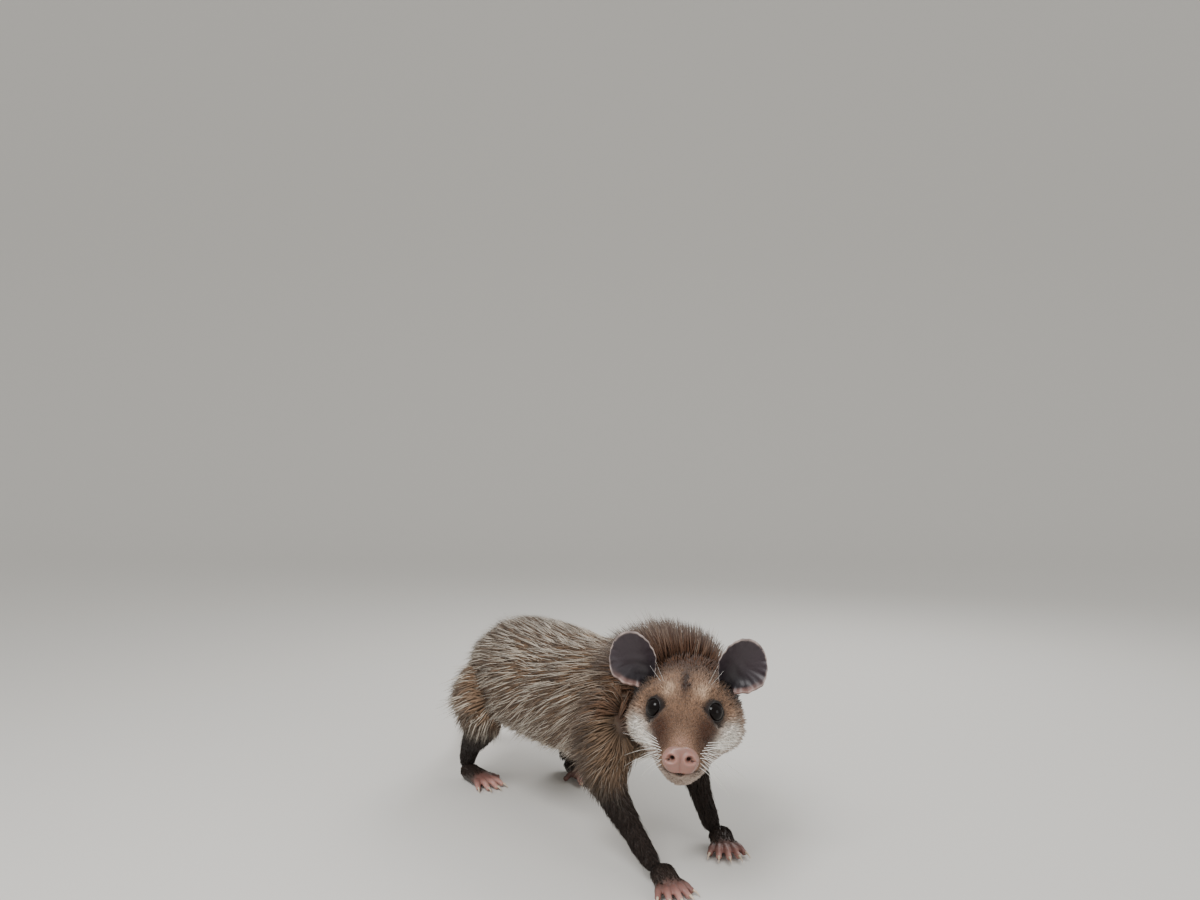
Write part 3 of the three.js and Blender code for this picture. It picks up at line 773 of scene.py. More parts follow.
def skin_shader(name, rough, bumps):
    """Bare skin: the markings with the coat's painted shade where fur grows, fine mottling and bumps, whose
    scales are per metre and depths in metres.
    """
    material, tree, surface = new_material(name)
    colour, _, where = mottled_marks_and_light(tree, 260, 4, 0.28)
    links = {}
    for scale, depth, kind in bumps:
        grain = add(tree, kind, {"Scale": scale}, {"Vector": where})
        links["Height"] = grain.outputs[0]
        bump = add(tree, "ShaderNodeBump", {"Strength": 0.6, "Distance": depth}, links)
        links = {"Normal": bump.outputs["Normal"]}
    shader = add(
        tree,
        "ShaderNodeBsdfPrincipled",
        {
            "Roughness": rough,
            "Subsurface Weight": 0.1,
            "Subsurface Scale": 0.002,
            "Subsurface Radius": (1, 0.35, 0.2),
        },
        {"Base Color": colour, **links},
    )
    tree.links.new(shader.outputs["BSDF"], surface)
    return material


# Furred skin: dull, thin skin with the dense underfur close over it.
FURRED_SKIN = skin_shader("furred_skin", 0.9, [(900, 0.0004, "ShaderNodeTexNoise")])
# Foot skin: thick, hairless and grainy, with a satin shine on the pads.
FOOT_SKIN = skin_shader(
    "foot_skin",
    0.5,
    [(700, 0.00022, "ShaderNodeTexVoronoi"), (2600, 0.0001, "ShaderNodeTexNoise")],
)


def tail_shader():
    """Tail skin: rings of small scales about 1.2 mm long, dark at the root and pinkish pale beyond."""
    material, tree, surface = new_material("tail_skin")
    around = add(tree, "ShaderNodeUVMap", uv_map="rings").outputs["UV"]
    scales = add(
        tree,
        "ShaderNodeTexBrick",
        {"Scale": 1.0, "Mortar Size": 0.09, "Mortar Smooth": 0.8, "Brick Width": 1.0, "Row Height": 1.0},
        {"Vector": around},
    )
    colour, _, _ = mottled_marks_and_light(tree, 300, 5, 0.25)
    depth = {"To Min": 1.0, "To Max": 0.62}
    groove = add(tree, "ShaderNodeMapRange", depth, {"Value": scales.outputs["Fac"]})
    links = {0: colour, "Scale": groove.outputs["Result"]}
    shaded = add(tree, "ShaderNodeVectorMath", links=links, operation="SCALE")
    links = {"Height": groove.outputs["Result"]}
    rings = add(tree, "ShaderNodeBump", {"Strength": 0.8, "Distance": 0.0003}, links)
    shader = add(
        tree,
        "ShaderNodeBsdfPrincipled",
        {"Roughness": 0.55, "Subsurface Weight": 0.15, "Subsurface Scale": 0.002},
        {"Base Color": shaded.outputs["Vector"], "Normal": rings.outputs["Normal"]},
    )
    tree.links.new(shader.outputs["BSDF"], surface)
    return material


# Tail skin: nearly bare, in rings of scales with a fine hair between them.
TAIL_SKIN = tail_shader()

# %% One object
SCALE_LENGTH = 1.25  # of one ring of the tail's scales, in mm
SCALES_AROUND = 22
TAIL_PARTS = ("root", "middle", "end", "tip")


def tail_mesh():
    """The bare tail, with its rings' UV map."""
    bm = bmesh.new()
    add_tube(bm, tail_tube, 0, 34, 260)
    for vertex in bm.verts:
        vertex.co.z = max(vertex.co.z, 0.05)
    bmesh.ops.recalc_face_normals(bm, faces=bm.faces)
    mesh = mesh_of("tail", bm)
    share, angle, _, _ = tail_tube.locate(coordinates(mesh))
    length = np.linalg.norm(np.diff(tail_tube.middle, axis=0), axis=1).sum()
    corner = np.empty(len(mesh.loops), np.int32)
    mesh.loops.foreach_get("vertex_index", corner)
    u = (angle[corner] / (2 * math.pi) + 0.5).reshape(-1)
    starts = np.array([p.loop_start for p in mesh.polygons])
    first = np.repeat(u[starts], [p.loop_total for p in mesh.polygons])
    u = np.where(u - first > 0.5, u - 1, np.where(first - u > 0.5, u + 1, u))
    rings = mesh.uv_layers.new(name="rings")
    v = share[corner] * length / SCALE_LENGTH
    rings.data.foreach_set("uv", np.column_stack([u * SCALES_AROUND, v]).astype(np.float32).ravel())
    return mesh


def foot_shade(points, leg):
    """Dark on top of the palm, pinkish towards the toes."""
    ahead = -moved(points, foot_matrix(leg).inverted())[:, 1]
    out = blend(np.tile(PALM_DARK, (len(points), 1)), PALM_PINK, smooth_steps(ahead, 2, 15))
    return blend(out, TOE_PINK, smooth_steps(ahead, 12, 20) * 0.8)


def painted_coat_shade(points, colours):
    """The skin between the roots, darkened by painted shade of the coat, except on the bare face."""
    bare = smooth_steps(-to_head(points)[:, 1], 30, 60)
    return colours * (0.42 + 0.5 * bare)[:, None]


tail_part = tail_mesh()
# The body's and the head's markings are darkened by painted shade of the coat.
parts = [
    (body_mesh, 0, painted_coat_shade(coordinates(body_mesh), body_colours(coordinates(body_mesh)))),
    (head_mesh, 0, painted_coat_shade(coordinates(head_mesh), head_colours(to_head(coordinates(head_mesh))))),
    *[(mesh, 1, foot_shade(coordinates(mesh), leg)) for mesh, leg in zip(foot_meshes, FOOT_PLACES)],
]
share = tail_tube.locate(coordinates(tail_part))[0]
tail_colour = blend(np.tile(TAIL_ROOT, (len(share), 1)), TAIL_PINK, smooth_steps(share, 0.1, 0.24))
parts.append((tail_part, 2, blend(tail_colour, TAIL_PALE, smooth_steps(share, 0.5, 1))))


def paint(mesh, colours):
    """Writes the markings, with any painted shade, one colour for each vertex."""
    attribute = mesh.attributes.new("marks_and_painted_light", "FLOAT_COLOR", "POINT")
    values = np.column_stack([colours, np.ones(len(colours))])
    attribute.data.foreach_set("color", values.astype(np.float32).ravel())


skin_bm = bmesh.new()
for mesh, index, colours in parts:
    paint(mesh, colours)
    mesh.polygons.foreach_set("material_index", np.full(len(mesh.polygons), index, np.int32))
    skin_bm.from_mesh(mesh)
skin_mesh = mesh_of("skin", skin_bm)
set_coordinates(skin_mesh, to_frame(coordinates(skin_mesh)))
shade_smooth(skin_mesh)
skin = object_of("skin", skin_mesh, FURRED_SKIN, FOOT_SKIN, TAIL_SKIN)
keep_piece(
    skin,
    "body_coat",
    "head",
    "neck",
    "torso",
    *[f"{leg}_{part}" for leg in LEGS for part in ("upper", "lower", "foot")],
    *[f"tail_{part}" for part in TAIL_PARTS],
)
print("skin faces:", len(skin_mesh.polygons))

# %% [markdown]
# ## Eyes
#
# An opossum is active at night, so its eye is nearly all pupil: a black, wet ball that shows only its
# highlight. The lids leave an almost round opening with a thin, dark, moist edge. Each ball is a whole
# sphere set into its socket, as in life.

# %% Eyeballs and the lids' edges
def plain_shader(name, colour, rough, **sockets):
    material, tree, surface = new_material(name)
    values = {"Roughness": rough, "Base Color": (*linear(colour), 1), **sockets}
    shader = add(tree, "ShaderNodeBsdfPrincipled", {k.replace("_", " "): v for k, v in values.items()})
    tree.links.new(shader.outputs["BSDF"], surface)
    return material


# Eye: the clear wet cornea over a dark iris and pupil.
EYE_BLACK = plain_shader("eye_wet_black", "#0c0605", 0.04, IOR=1.34, Specular_IOR_Level=0.3)
# Lid edge: black moist skin.
LID_EDGE = plain_shader("lid_edge_skin", "#14100f", 0.35)


def bm_object(name, bm, material, slot, *replaced):
    """Makes a finished object from millimetres about the forefeet."""
    bmesh.ops.recalc_face_normals(bm, faces=bm.faces)
    for vertex in bm.verts:
        vertex.co = to_frame(vertex.co)
    mesh = mesh_of(name, bm)
    shade_smooth(mesh)
    return keep_piece(object_of(name, mesh, material), slot, *replaced)


def add_hose(bm, points, radii, around=8):
    """Rolls a grid into a closed hose along points; its ends shrink to a point each."""
    line = np.vstack([points[:1], points, points[-1:]])
    girth = np.concatenate([[0], np.broadcast_to(radii, len(points)), [0]])
    grid = bmesh.ops.create_grid(bm, x_segments=around, y_segments=len(line) - 1, size=1)["verts"]
    ahead = np.gradient(points, axis=0)
    ahead = unit(np.vstack([ahead[:1], ahead, ahead[-1:]]))
    side = unit(np.cross(ahead, [0.3, 0.2, 1.0]))
    up = np.cross(side, ahead)
    for vertex in grid:
        i = round((vertex.co.y + 1) / 2 * (len(line) - 1))
        turn = vertex.co.x * math.pi
        vertex.co = line[i] + (side[i] * math.cos(turn) + up[i] * math.sin(turn)) * girth[i]
    bmesh.ops.remove_doubles(bm, verts=grid, dist=1e-4)


for name, sign in SIDES.items():
    centre, gaze, across, upward = eye_axes(sign)
    bm = bmesh.new()
    bmesh.ops.create_uvsphere(bm, u_segments=48, v_segments=32, radius=EYE_RADIUS)
    for vertex in bm.verts:
        vertex.co = HEAD_POSE @ (vertex.co + Vector(centre))
    bm_object(f"eye_{name}_ball", bm, EYE_BLACK, "eye", f"eye_{name}")
    bm = bmesh.new()
    turns = np.linspace(0, 2 * math.pi, 49)[:-1]
    limit = eye_limit(turns)[:, None]
    around = across[None] * np.cos(turns)[:, None] + upward[None] * np.sin(turns)[:, None]
    edge = centre + (gaze[None] * np.cos(limit) + around * np.sin(limit)) * (EYE_RADIUS + 0.22)
    edge = np.vstack([edge, edge[:2]])
    add_hose(bm, moved(edge, HEAD_POSE), 0.3, 8)
    bm_object(f"lid_edge_{name}", bm, LID_EDGE, "face_fur")

# %% [markdown]
# ## Ears
#
# The ear is a thin sheet of bare skin, black and a little purple, cupped at its base, with fine folds across
# it and a crinkled rim with a pale painted highlight. A grid is bent into the cup by the same rule that made
# its solid, crinkled by a few waves, and then given its thickness by the solidify operator.

# %% Ear sheets
EAR_UP = np.array([0.47, -0.02, 0.88])
EAR_FACING = np.array([0.25, -0.97, 0])
EAR_LENGTH, EAR_WIDTH, EAR_THICKNESS = 34.5, 29, 0.9
EAR_BLACK, EAR_PURPLE = linear("#211b20"), linear("#3a2d33")
# The rim's pale colour is a painted highlight along the ear's edge.
EAR_RIM_PAINTED_HIGHLIGHT, EAR_LOBE = linear("#a5958f"), linear("#b08a80")


def ear_place(a, b, sign):
    """A place on the middle of the ear's sheet, from a square grid's coordinates."""
    up = unit(EAR_UP * [sign, 1, 1])
    facing = EAR_FACING * [sign, 1, 1]
    facing = unit(facing - up * (facing @ up))
    across = np.cross(up, facing)
    x, y = a * np.sqrt(1 - b * b / 2), b * np.sqrt(1 - a * a / 2)
    height = (y + 1) / 2
    half = EAR_WIDTH / 2 * (0.62 + 0.38 * smooth_steps(height, 0, 0.55))
    cup = (13 - 8.5 * height) * x * x + 3 * height * height - 1.5
    out = np.hypot(x, y)
    turn = np.arctan2(y, x)
    edge = smooth_steps(out, 0.72, 1)
    folds = 0.2 * np.sin(height * 27 + 2.2 * x + np.sin(5 * x)) * (1 - edge) * smooth_steps(height, 0.08, 0.3)
    folds = folds * (1 - smooth_steps(height, 0.5, 0.75))
    crinkle = edge * (0.3 * np.sin(turn * 13 + 2 * sign) + 0.2 * np.sin(turn * 23 + 1))
    crinkle = crinkle * (1 + 2 * (1 - smooth_steps(height, 0.2, 0.55)))
    lobe = 1.5 * smooth_steps(-sign * x, 0.45, 0.9) * (1 - smooth_steps(height, 0.25, 0.5))
    made = EAR_ROOT * [sign, 1, 1] + up * (EAR_LENGTH * height)[:, None]
    made = made + across * (half * x * (1 - 0.012 * np.sin(turn * 23)))[:, None]
    return made + facing * (cup + folds + crinkle * 0.8 + lobe)[:, None], out, turn, height


def ear_shader():
    """Ear skin: the black and the rim's pale painted highlight come from the markings, the grain from a fine
    noise.
    """
    material, tree, surface = new_material("ear_skin")
    colour, grain, _ = mottled_marks_and_light(tree, 900, 5, 0.3)
    bump = add(tree, "ShaderNodeBump", {"Strength": 0.5, "Distance": 0.0002}, {"Height": grain})
    links = {"Base Color": colour, "Normal": bump.outputs["Normal"]}
    shader = add(tree, "ShaderNodeBsdfPrincipled", {"Roughness": 0.45}, links)
    tree.links.new(shader.outputs["BSDF"], surface)
    return material


# Ear skin: thin, hairless, satin.
EAR_SKIN = ear_shader()
for name, sign in SIDES.items():
    bm = bmesh.new()
    bmesh.ops.create_grid(bm, x_segments=56, y_segments=56, size=1)
    co = np.array([v.co for v in bm.verts])
    made, out, turn, height = ear_place(co[:, 0], co[:, 1], sign)
    colours = blend(np.tile(EAR_BLACK, (len(co), 1)), EAR_PURPLE, smooth_steps(height, 0.2, 0.7) * 0.6)
    # Painted highlight along the rim, stronger and weaker in turns.
    rim = smooth_steps(out, 0.955, 0.995) * (0.75 + 0.25 * np.sin(turn * 9))
    outer = smooth_steps(sign * -co[:, 0], -1, 1)
    low = (1 - smooth_steps(height, 0.2, 0.6)) * smooth_steps(out, 0.8, 0.95) * (1 - outer)
    colours = blend(blend(colours, EAR_RIM_PAINTED_HIGHLIGHT, rim), EAR_LOBE, low * 0.55)
    layer = bm.verts.layers.float_color.new("marks_and_painted_light")
    for vertex, place, tone in zip(bm.verts, moved(made, HEAD_POSE), colours):
        vertex.co = place
        vertex[layer] = (*tone, 1)
    bmesh.ops.solidify(bm, geom=bm.faces[:], thickness=EAR_THICKNESS)
    bm_object(f"ear_{name}_sheet", bm, EAR_SKIN, "ear_skin", f"ear_{name}")

# %% [markdown]
# ## Nose
#
# The nose pad is the front of the muzzle: moist pink skin with a groove down its middle and a nostril that
# opens forwards and to the side. It is cut from the same tube as the head, so that it sits flush, and its
# front is pressed in at the nostrils and swells round them.

# %% Nose pad
NOSE_BACK, NOSE_UNDER = -89.8, -11.4
NOSTRIL = np.array([4.6, -94.2, -4.6])
NOSE_PINK, NOSE_DARK = linear("#8f6a5f"), linear("#82544c")
# Nostril: painted shade inside the hollow, near black.
NOSE_RIM, NOSTRIL_PAINTED_SHADE = linear("#b18479"), linear("#2a1412")


def nose_shader():
    """Nose skin: pink, moist and cobbled in grains of about half a millimetre."""
    material, tree, surface = new_material("nose_skin")
    marks_and_painted_light = add(tree, "ShaderNodeAttribute", attribute_name="marks_and_painted_light")
    where = add(tree, "ShaderNodeTexCoord").outputs["Object"]
    grains = add(tree, "ShaderNodeTexVoronoi", {"Scale": 1500}, {"Vector": where})
    links = {"Height": grains.outputs["Distance"]}
    bump = add(tree, "ShaderNodeBump", {"Strength": 0.35, "Distance": 0.0002}, links)
    shader = add(
        tree,
        "ShaderNodeBsdfPrincipled",
        {"Roughness": 0.36, "Subsurface Weight": 0.25, "Subsurface Scale": 0.0015},
        {"Base Color": marks_and_painted_light.outputs["Color"], "Normal": bump.outputs["Normal"]},
    )
    tree.links.new(shader.outputs["BSDF"], surface)
    return material


# Nose: bare moist skin.
NOSE_SKIN = nose_shader()
bm = bmesh.new()
add_tube(bm, head_tube, 0.35, 110, 230)
for at, facing in (((0, NOSE_BACK, 0), (0, 1, 0)), ((0, 0, NOSE_UNDER), (0, 0, -1))):
    whole = bm.verts[:] + bm.edges[:] + bm.faces[:]
    bmesh.ops.bisect_plane(bm, geom=whole, plane_co=at, plane_no=facing, clear_outer=True)
bmesh.ops.holes_fill(bm, edges=[e for e in bm.edges if e.is_boundary])
co = np.array([v.co for v in bm.verts])
front = smooth_steps(-co[:, 1], -NOSE_BACK + 0.15, -NOSE_BACK + 1.6)
away = (folded(co) - NOSTRIL) / [1.5, 3.2, 1.3]
trail = (folded(co) - NOSTRIL - [1.7, 0, -1.0]) / [1.3, 3.2, 0.7]
hole = np.maximum(np.exp(-((away**2).sum(1))), 0.8 * np.exp(-((trail**2).sum(1))))
rim = np.exp(-(((np.linalg.norm(away, axis=1) - 1.9) / 0.7) ** 2))
groove = np.exp(-((co[:, 0] / 0.7) ** 2)) * smooth_steps(-co[:, 2], 2, 5)
bm.normal_update()
normals = np.array([v.normal for v in bm.verts])
outside = smooth_steps(co[:, 1] - nose_edge(co), -0.4, 1.0)
inward = unit(np.column_stack([-0.35 * np.sign(co[:, 0]), np.ones(len(co)), np.zeros(len(co))]))
pressed = (3.0 * hole - 0.6 * rim + 0.45 * groove) * front
shaped = co + inward * pressed[:, None] - normals * outside[:, None] * 2.2
colours = np.tile(NOSE_PINK, (len(co), 1))
colours = blend(colours, NOSE_DARK, 0.35 * groove + 0.5 * smooth_steps(outside, 0, 0.4))
# The nostrils' hollows carry painted shade.
colours = blend(blend(colours, NOSE_RIM, 0.5 * rim), NOSTRIL_PAINTED_SHADE, smooth_steps(hole, 0.4, 0.8))
layer = bm.verts.layers.float_color.new("marks_and_painted_light")
for vertex, place, tone in zip(bm.verts, moved(shaped, HEAD_POSE), colours):
    vertex.co = place
    vertex[layer] = (*tone, 1)
bm_object("nose_pad", bm, NOSE_SKIN, "nose_skin", "nose")

# %% [markdown]
# ## Claws and whiskers
#
# Every toe but the hind thumbs ends in a small curved claw of pale horn. The whiskers are stiff, white and
# longest at the back of the pad; a few grow over the eye and on the cheek. Each is a thin hose that tapers
# to its tip.

# %% Claws
# Claw: smooth pale horn, a little see-through in life.
CLAW_HORN = plain_shader("claw_horn", "#cdbba4", 0.35, Subsurface_Weight=0.1, Subsurface_Scale=0.001)
CLAW_LENGTH = 4.6
for leg, (_, _, kind) in FOOT_PLACES.items():
    bm = bmesh.new()
    for i, (turn, reach, x, y) in enumerate(FEET[kind]["toes"]):
        if kind == "foot" and i == 0:
            continue
        ahead = np.array([math.sin(math.radians(turn)), -math.cos(math.radians(turn)), 0])
        seat = np.array([x, y, 0]) + ahead * reach * 0.86 + [0, 0, 3.0]
        way = np.linspace(0, 1, 7)[:, None]
        line = seat + ahead * CLAW_LENGTH * way * (1 - 0.12 * way) + np.array([0, 0, -2.1]) * way**2
        add_hose(bm, moved(line, foot_matrix(leg)), np.linspace(0.85, 0.12, 7), 10)
    bm_object(f"claws_{leg}", bm, CLAW_HORN, "claw")

# %% Whiskers
# Whisker: stiff white hair.
WHISKER_HAIR = plain_shader("whisker_hair", "#efece6", 0.4)
WHISKER_SEED = 31
WHISKER_ROWS, WHISKER_COLUMNS = 4, 5
BROW_WHISKERS = [((12, -45, 20), (0.35, -0.2, 0.8), 13), ((13.5, -43, 19), (0.55, 0, 0.7), 11)]
rng = np.random.default_rng(WHISKER_SEED)
bm = bmesh.new()
for sign in (1, -1):
    sweep = 0.25 if sign > 0 else 0.6
    for row in range(WHISKER_ROWS):
        for column in range(WHISKER_COLUMNS):
            root = np.array([9.6 + 0.9 * column, -88 + 3.4 * column, -3.2 - 2.3 * row + 0.3 * column])
            length = (17 + 5.2 * column) * rng.uniform(0.8, 1.1)
            out = np.array([0.62, sweep + 0.04 * column, 0.02 - 0.2 * row]) + rng.normal(0, 0.06, 3)
            back = np.array([-0.2, 0.5, -0.5 + 0.05 * column]) + rng.normal(0, 0.05, 3)
            way = np.linspace(0, 1, 9)[:, None]
            line = root + unit(out) * length * way + back * length * 0.42 * way**2
            add_hose(bm, moved(line * [sign, 1, 1], HEAD_POSE), np.linspace(0.15, 0.04, 9), 5)
    for root, out, length in BROW_WHISKERS:
        way = np.linspace(0, 1, 8)[:, None]
        line = np.array(root) + unit(np.array(out)) * length * way
        line = line + np.array([0, 0.4, -0.1]) * length * way**2 * 0.5
        add_hose(bm, moved(line * [sign, 1, 1], HEAD_POSE), np.linspace(0.07, 0.03, 8), 5)
bm_object("whiskers", bm, WHISKER_HAIR, "whisker")

# %% [markdown]
# ## The coat
#
# Fur is made of tufts. Each is a flat, tapered lock of many hairs that stick together: it leaves the skin at
# a slant, bends over along the lie and ends in a point. Roots are scattered over the skin by area, from a
# seeded draw. Where they stand says how long, how wide and how raised each tuft is. The lie runs back along
# the body's lines, and down over the flanks and legs.
#
# A tuft here has seven vertices: three at the root, three at its middle and one at the tip.

# %% Roots
COAT_SEED = 4
rng = np.random.default_rng(COAT_SEED)


def skin_triangles(mesh, points):
    mesh.calc_loop_triangles()
    corners = np.empty(len(mesh.loop_triangles) * 3, np.int32)
    mesh.loop_triangles.foreach_get("vertices", corners)
    return points[corners.reshape(-1, 3)]


def scatter(corners, weight, count):
    """Points and normals drawn over triangles, by their area times a weight."""
    a, b, c = corners[:, 0], corners[:, 1], corners[:, 2]
    crossed = np.cross(b - a, c - a)
    size = np.linalg.norm(crossed, axis=1) * weight
    chosen = rng.choice(len(size), count, p=size / size.sum())
    u, v = rng.random(count), rng.random(count)
    over = u + v > 1
    u, v = np.where(over, 1 - u, u)[:, None], np.where(over, 1 - v, v)[:, None]
    return a[chosen] + u * (b[chosen] - a[chosen]) + v * (c[chosen] - a[chosen]), unit(crossed[chosen])


def triangle_centres(corners):
    return corners.mean(1)


def face_clearance(p):
    """0 where the face is bare: on the eyes, the nose, the lips and the ears' roots."""
    clear = smooth_steps(eye_ring(p), 1.12, 1.3)
    clear = clear * smooth_steps(p[:, 1] - nose_edge(p), -0.5, 0.1)
    lips = np.abs(mouth_distance(p))
    clear = clear * np.where(p[:, 1] < -58, smooth_steps(lips, 0.9, 1.7), 1)
    away = (folded(p) - EAR_ROOT - [2.5, -1, 5.5]) / [7, 2.6, 5]
    return clear * smooth_steps((away**2).sum(1), 0.5, 1)


def clumps(roots, size):
    """For each root the number of the root whose lock it leans to: one in every few, the nearest one."""
    leaders = rng.choice(len(roots), max(len(roots) // size, 1), replace=False)
    tree = KDTree(len(leaders))
    for i in leaders:
        tree.insert(roots[i], i)
    tree.balance()
    return np.array([tree.find(root)[1] for root in roots])


# %% The shape of a tuft
TUFTS_IN_LOCK = 9
TUFT_FACES = np.array(
    [(0, 2, 1), (0, 1, 4), (0, 4, 3), (1, 2, 5), (1, 5, 4)]
    + [(2, 0, 3), (2, 3, 5), (3, 4, 6), (4, 5, 6), (5, 3, 6)]
)


def flat_on(vectors, normals):
    """The part of each vector that runs along the skin, as a unit."""
    return unit(vectors - normals * (vectors * normals).sum(1)[:, None])


def tuft_points(roots, normals, lie, length, width, rise, bend, highest):
    """Seven points for each tuft. Lengths and widths are in mm; rise is the sine of the slant."""
    count = len(roots)
    clump = clumps(roots, TUFTS_IN_LOCK)
    free = unit(lie)
    free = unit(free - normals * np.maximum((free * normals).sum(1), 0)[:, None] * 0.85)
    lie = flat_on(lie, normals)
    lie = unit(lie + rng.normal(0, 0.1, (count, 3)) + rng.normal(0, 0.13, (count, 3))[clump])
    lie = flat_on(lie, normals)
    across = np.cross(normals, lie)
    length = length * rng.uniform(0.78, 1.18, count) * rng.uniform(0.85, 1.15, count)[clump]
    width = width * rng.uniform(0.7, 1.3, count)
    rise = np.clip(rise * rng.uniform(0.7, 1.3, count), 0.03, 1)
    rise = np.minimum(rise, np.broadcast_to(highest, count) / length)
    away = unit(normals * rise[:, None] + lie * np.sqrt(np.maximum(1 - rise**2, 0.02))[:, None])
    bend = np.broadcast_to(bend, count)[:, None]
    falling = unit(away * (1 - bend) + free * bend)
    l, w = length[:, None], width[:, None]
    root = roots - normals * 0.5
    middle = roots + away * l * 0.46
    tip = middle + falling * l * 0.54 + across * l * rng.normal(0, 0.05, (count, 1))
    drawn = roots[clump] - roots
    drawn = drawn - lie * (drawn * lie).sum(1)[:, None]
    middle = middle + drawn * 0.25
    tip = tip + drawn * 0.7
    points = np.empty((count, 7, 3))
    for k, (x, y) in enumerate(((1, -0.35), (-1, -0.35), (0, 0.5))):
        points[:, k] = root + across * (x * 0.34 * w) + normals * (y * 0.34 * w)
        points[:, 3 + k] = middle + across * (x * 0.5 * w) + normals * (y * 0.34 * w)
    points[:, 6] = tip
    points[:, :, 2] = np.maximum(points[:, :, 2], 0.4)
    return points


# %% One piece of the coat
# Each tuft has a patch of the UV map, so that a baked colour has somewhere to go.
TUFT_PATCH = 0.003 * np.array([(0, 0), (0.5, 0), (0.25, 0.1), (0, 0.5), (0.5, 0.5), (0.25, 0.6), (0.25, 1)])


def tufts(
    name, slot, unwrap, roots, normals, lie, length, width, rise, colours, tips,
    bend=0.5, highest=13.0, spread=0.18,
):
    """One closed object of tufts, darkened at the root by painted shade of the coat, and with its own colour
    at the tip.
    """
    points = tuft_points(roots, normals, lie, length, width, rise, bend, highest)
    count = len(roots)
    loops = (TUFT_FACES[None] + 7 * np.arange(count)[:, None, None]).reshape(-1, 3)
    mesh = bpy.data.meshes.new(name)
    mesh.vertices.add(count * 7)
    mesh.vertices.foreach_set("co", to_frame(points.reshape(-1, 3)).astype(np.float32).ravel())
    mesh.loops.add(len(loops) * 3)
    mesh.loops.foreach_set("vertex_index", loops.astype(np.int32).ravel())
    mesh.polygons.add(len(loops))
    mesh.polygons.foreach_set("loop_start", np.arange(0, len(loops) * 3, 3, dtype=np.int32))
    shade_smooth(mesh)
    shade = rng.uniform(1 - spread, 1 + spread, (count, 1))
    tone = np.empty((count, 7, 3))
    tone[:, 3:6] = (colours * shade)[:, None]
    # Painted shade deep in the coat: each root darkened to a little over half the middle's colour.
    tone[:, :3] = tone[:, 3:6] * 0.55
    tone[:, 6] = tips * shade
    paint(mesh, tone.reshape(-1, 3))
    uv = unwrap[:, None] * 0.99 + TUFT_PATCH[None]
    layer = mesh.uv_layers.new(name="OFBake")
    layer.data.foreach_set("uv", uv.reshape(-1, 2)[loops.ravel()].astype(np.float32).ravel())
    mesh.validate()
    mesh.update()
    print(name, "tufts:", count, "triangles:", len(loops))
    return keep_piece(object_of(name, mesh, FUR), slot)


def fur_shader():
    """Fur: the markings and the painted shade at the roots, with light and dark patches, rough, and a trace
    of sheen from many fine hairs.
    """
    material, tree, surface = new_material("opossum_fur")
    colour, _, _ = mottled_marks_and_light(tree, 120, 3, 0.2)
    shader = add(
        tree,
        "ShaderNodeBsdfPrincipled",
        {"Roughness": 0.7, "Sheen Weight": 0.05, "Sheen Roughness": 0.4, "Specular IOR Level": 0.22},
        {"Base Color": colour},
    )
    tree.links.new(shader.outputs["BSDF"], surface)
    return material


# Fur: dry keratin hair, matt with a soft shine along its length.
FUR = fur_shader()

# %% [markdown]
# ## Face fur
#
# The face's fur is the shortest, a millimetre or two beside the nose, and it lengthens over the forehead and
# cheeks into the ruff. It lies straight back from the nose and parts round the eyes and ears.

# %% Face
head_corners = skin_triangles(head_mesh, head_local)
middle = triangle_centres(head_corners)
weight = face_clearance(middle) * (0.6 + 1.8 * smooth_steps(-middle[:, 1], 20, 80)) * (middle[:, 1] < 1)
FACE_TUFTS, FACE_PIECES = 42000, 3
roots, normals = scatter(head_corners, weight, FACE_TUFTS)
kept = face_clearance(roots) > 0.35
roots, normals = roots[kept], normals[kept]


def face_length(p):
    """Lengths of the face's hair in mm: short at the nose, longer at the ears, cheeks and chin."""
    back = np.interp(p[:, 1], [-90, -80, -62, -48, -30, -14, 0], [1.1, 1.8, 3.2, 4.6, 7, 11, 15])
    side = 1 + 0.55 * blob(p, (27, -36, -6), (10, 16, 12)) + 0.7 * blob(p, EAR_ROOT + [3, -4, 1], (11, 7, 8))
    jaw = smooth_steps(p[:, 1], -92, -84) * (1 - smooth_steps(p[:, 1], -74, -60))
    under = 1 + 1.3 * smooth_steps(-p[:, 2], 11, 17) * jaw
    top = 1 + 0.5 * smooth_steps(p[:, 2], 8, 20) * smooth_steps(p[:, 1], -22, -6)
    return back * side * under * top * (0.4 + 0.6 * smooth_steps(eye_ring(p), 1.1, 2.6))


def face_lie(p):
    """The way that the face's hair lies: back from the nose, outwards, and parted round each eye."""
    lie = np.tile([0, 1.0, 0], (len(p), 1))
    aside = smooth_steps(np.abs(p[:, 0]), 3, 14) * smooth_steps(p[:, 1], -70, -50)
    lie[:, 0] += 0.35 * np.sign(p[:, 0]) * aside
    lie[:, 2] -= 0.45 * smooth_steps(-p[:, 2], -6, 10) * smooth_steps(p[:, 1], -75, -45)
    for sign in (1, -1):
        centre = eye_axes(sign)[0]
        away = p - centre
        near = np.exp(-((np.linalg.norm(away, axis=1) / 11) ** 2))[:, None]
        lie += unit(away) * near * [0.5, 0.3, 0.9]
    return lie


def rotated(vectors):
    return vectors @ np.array(HEAD_POSE)[:3, :3].T


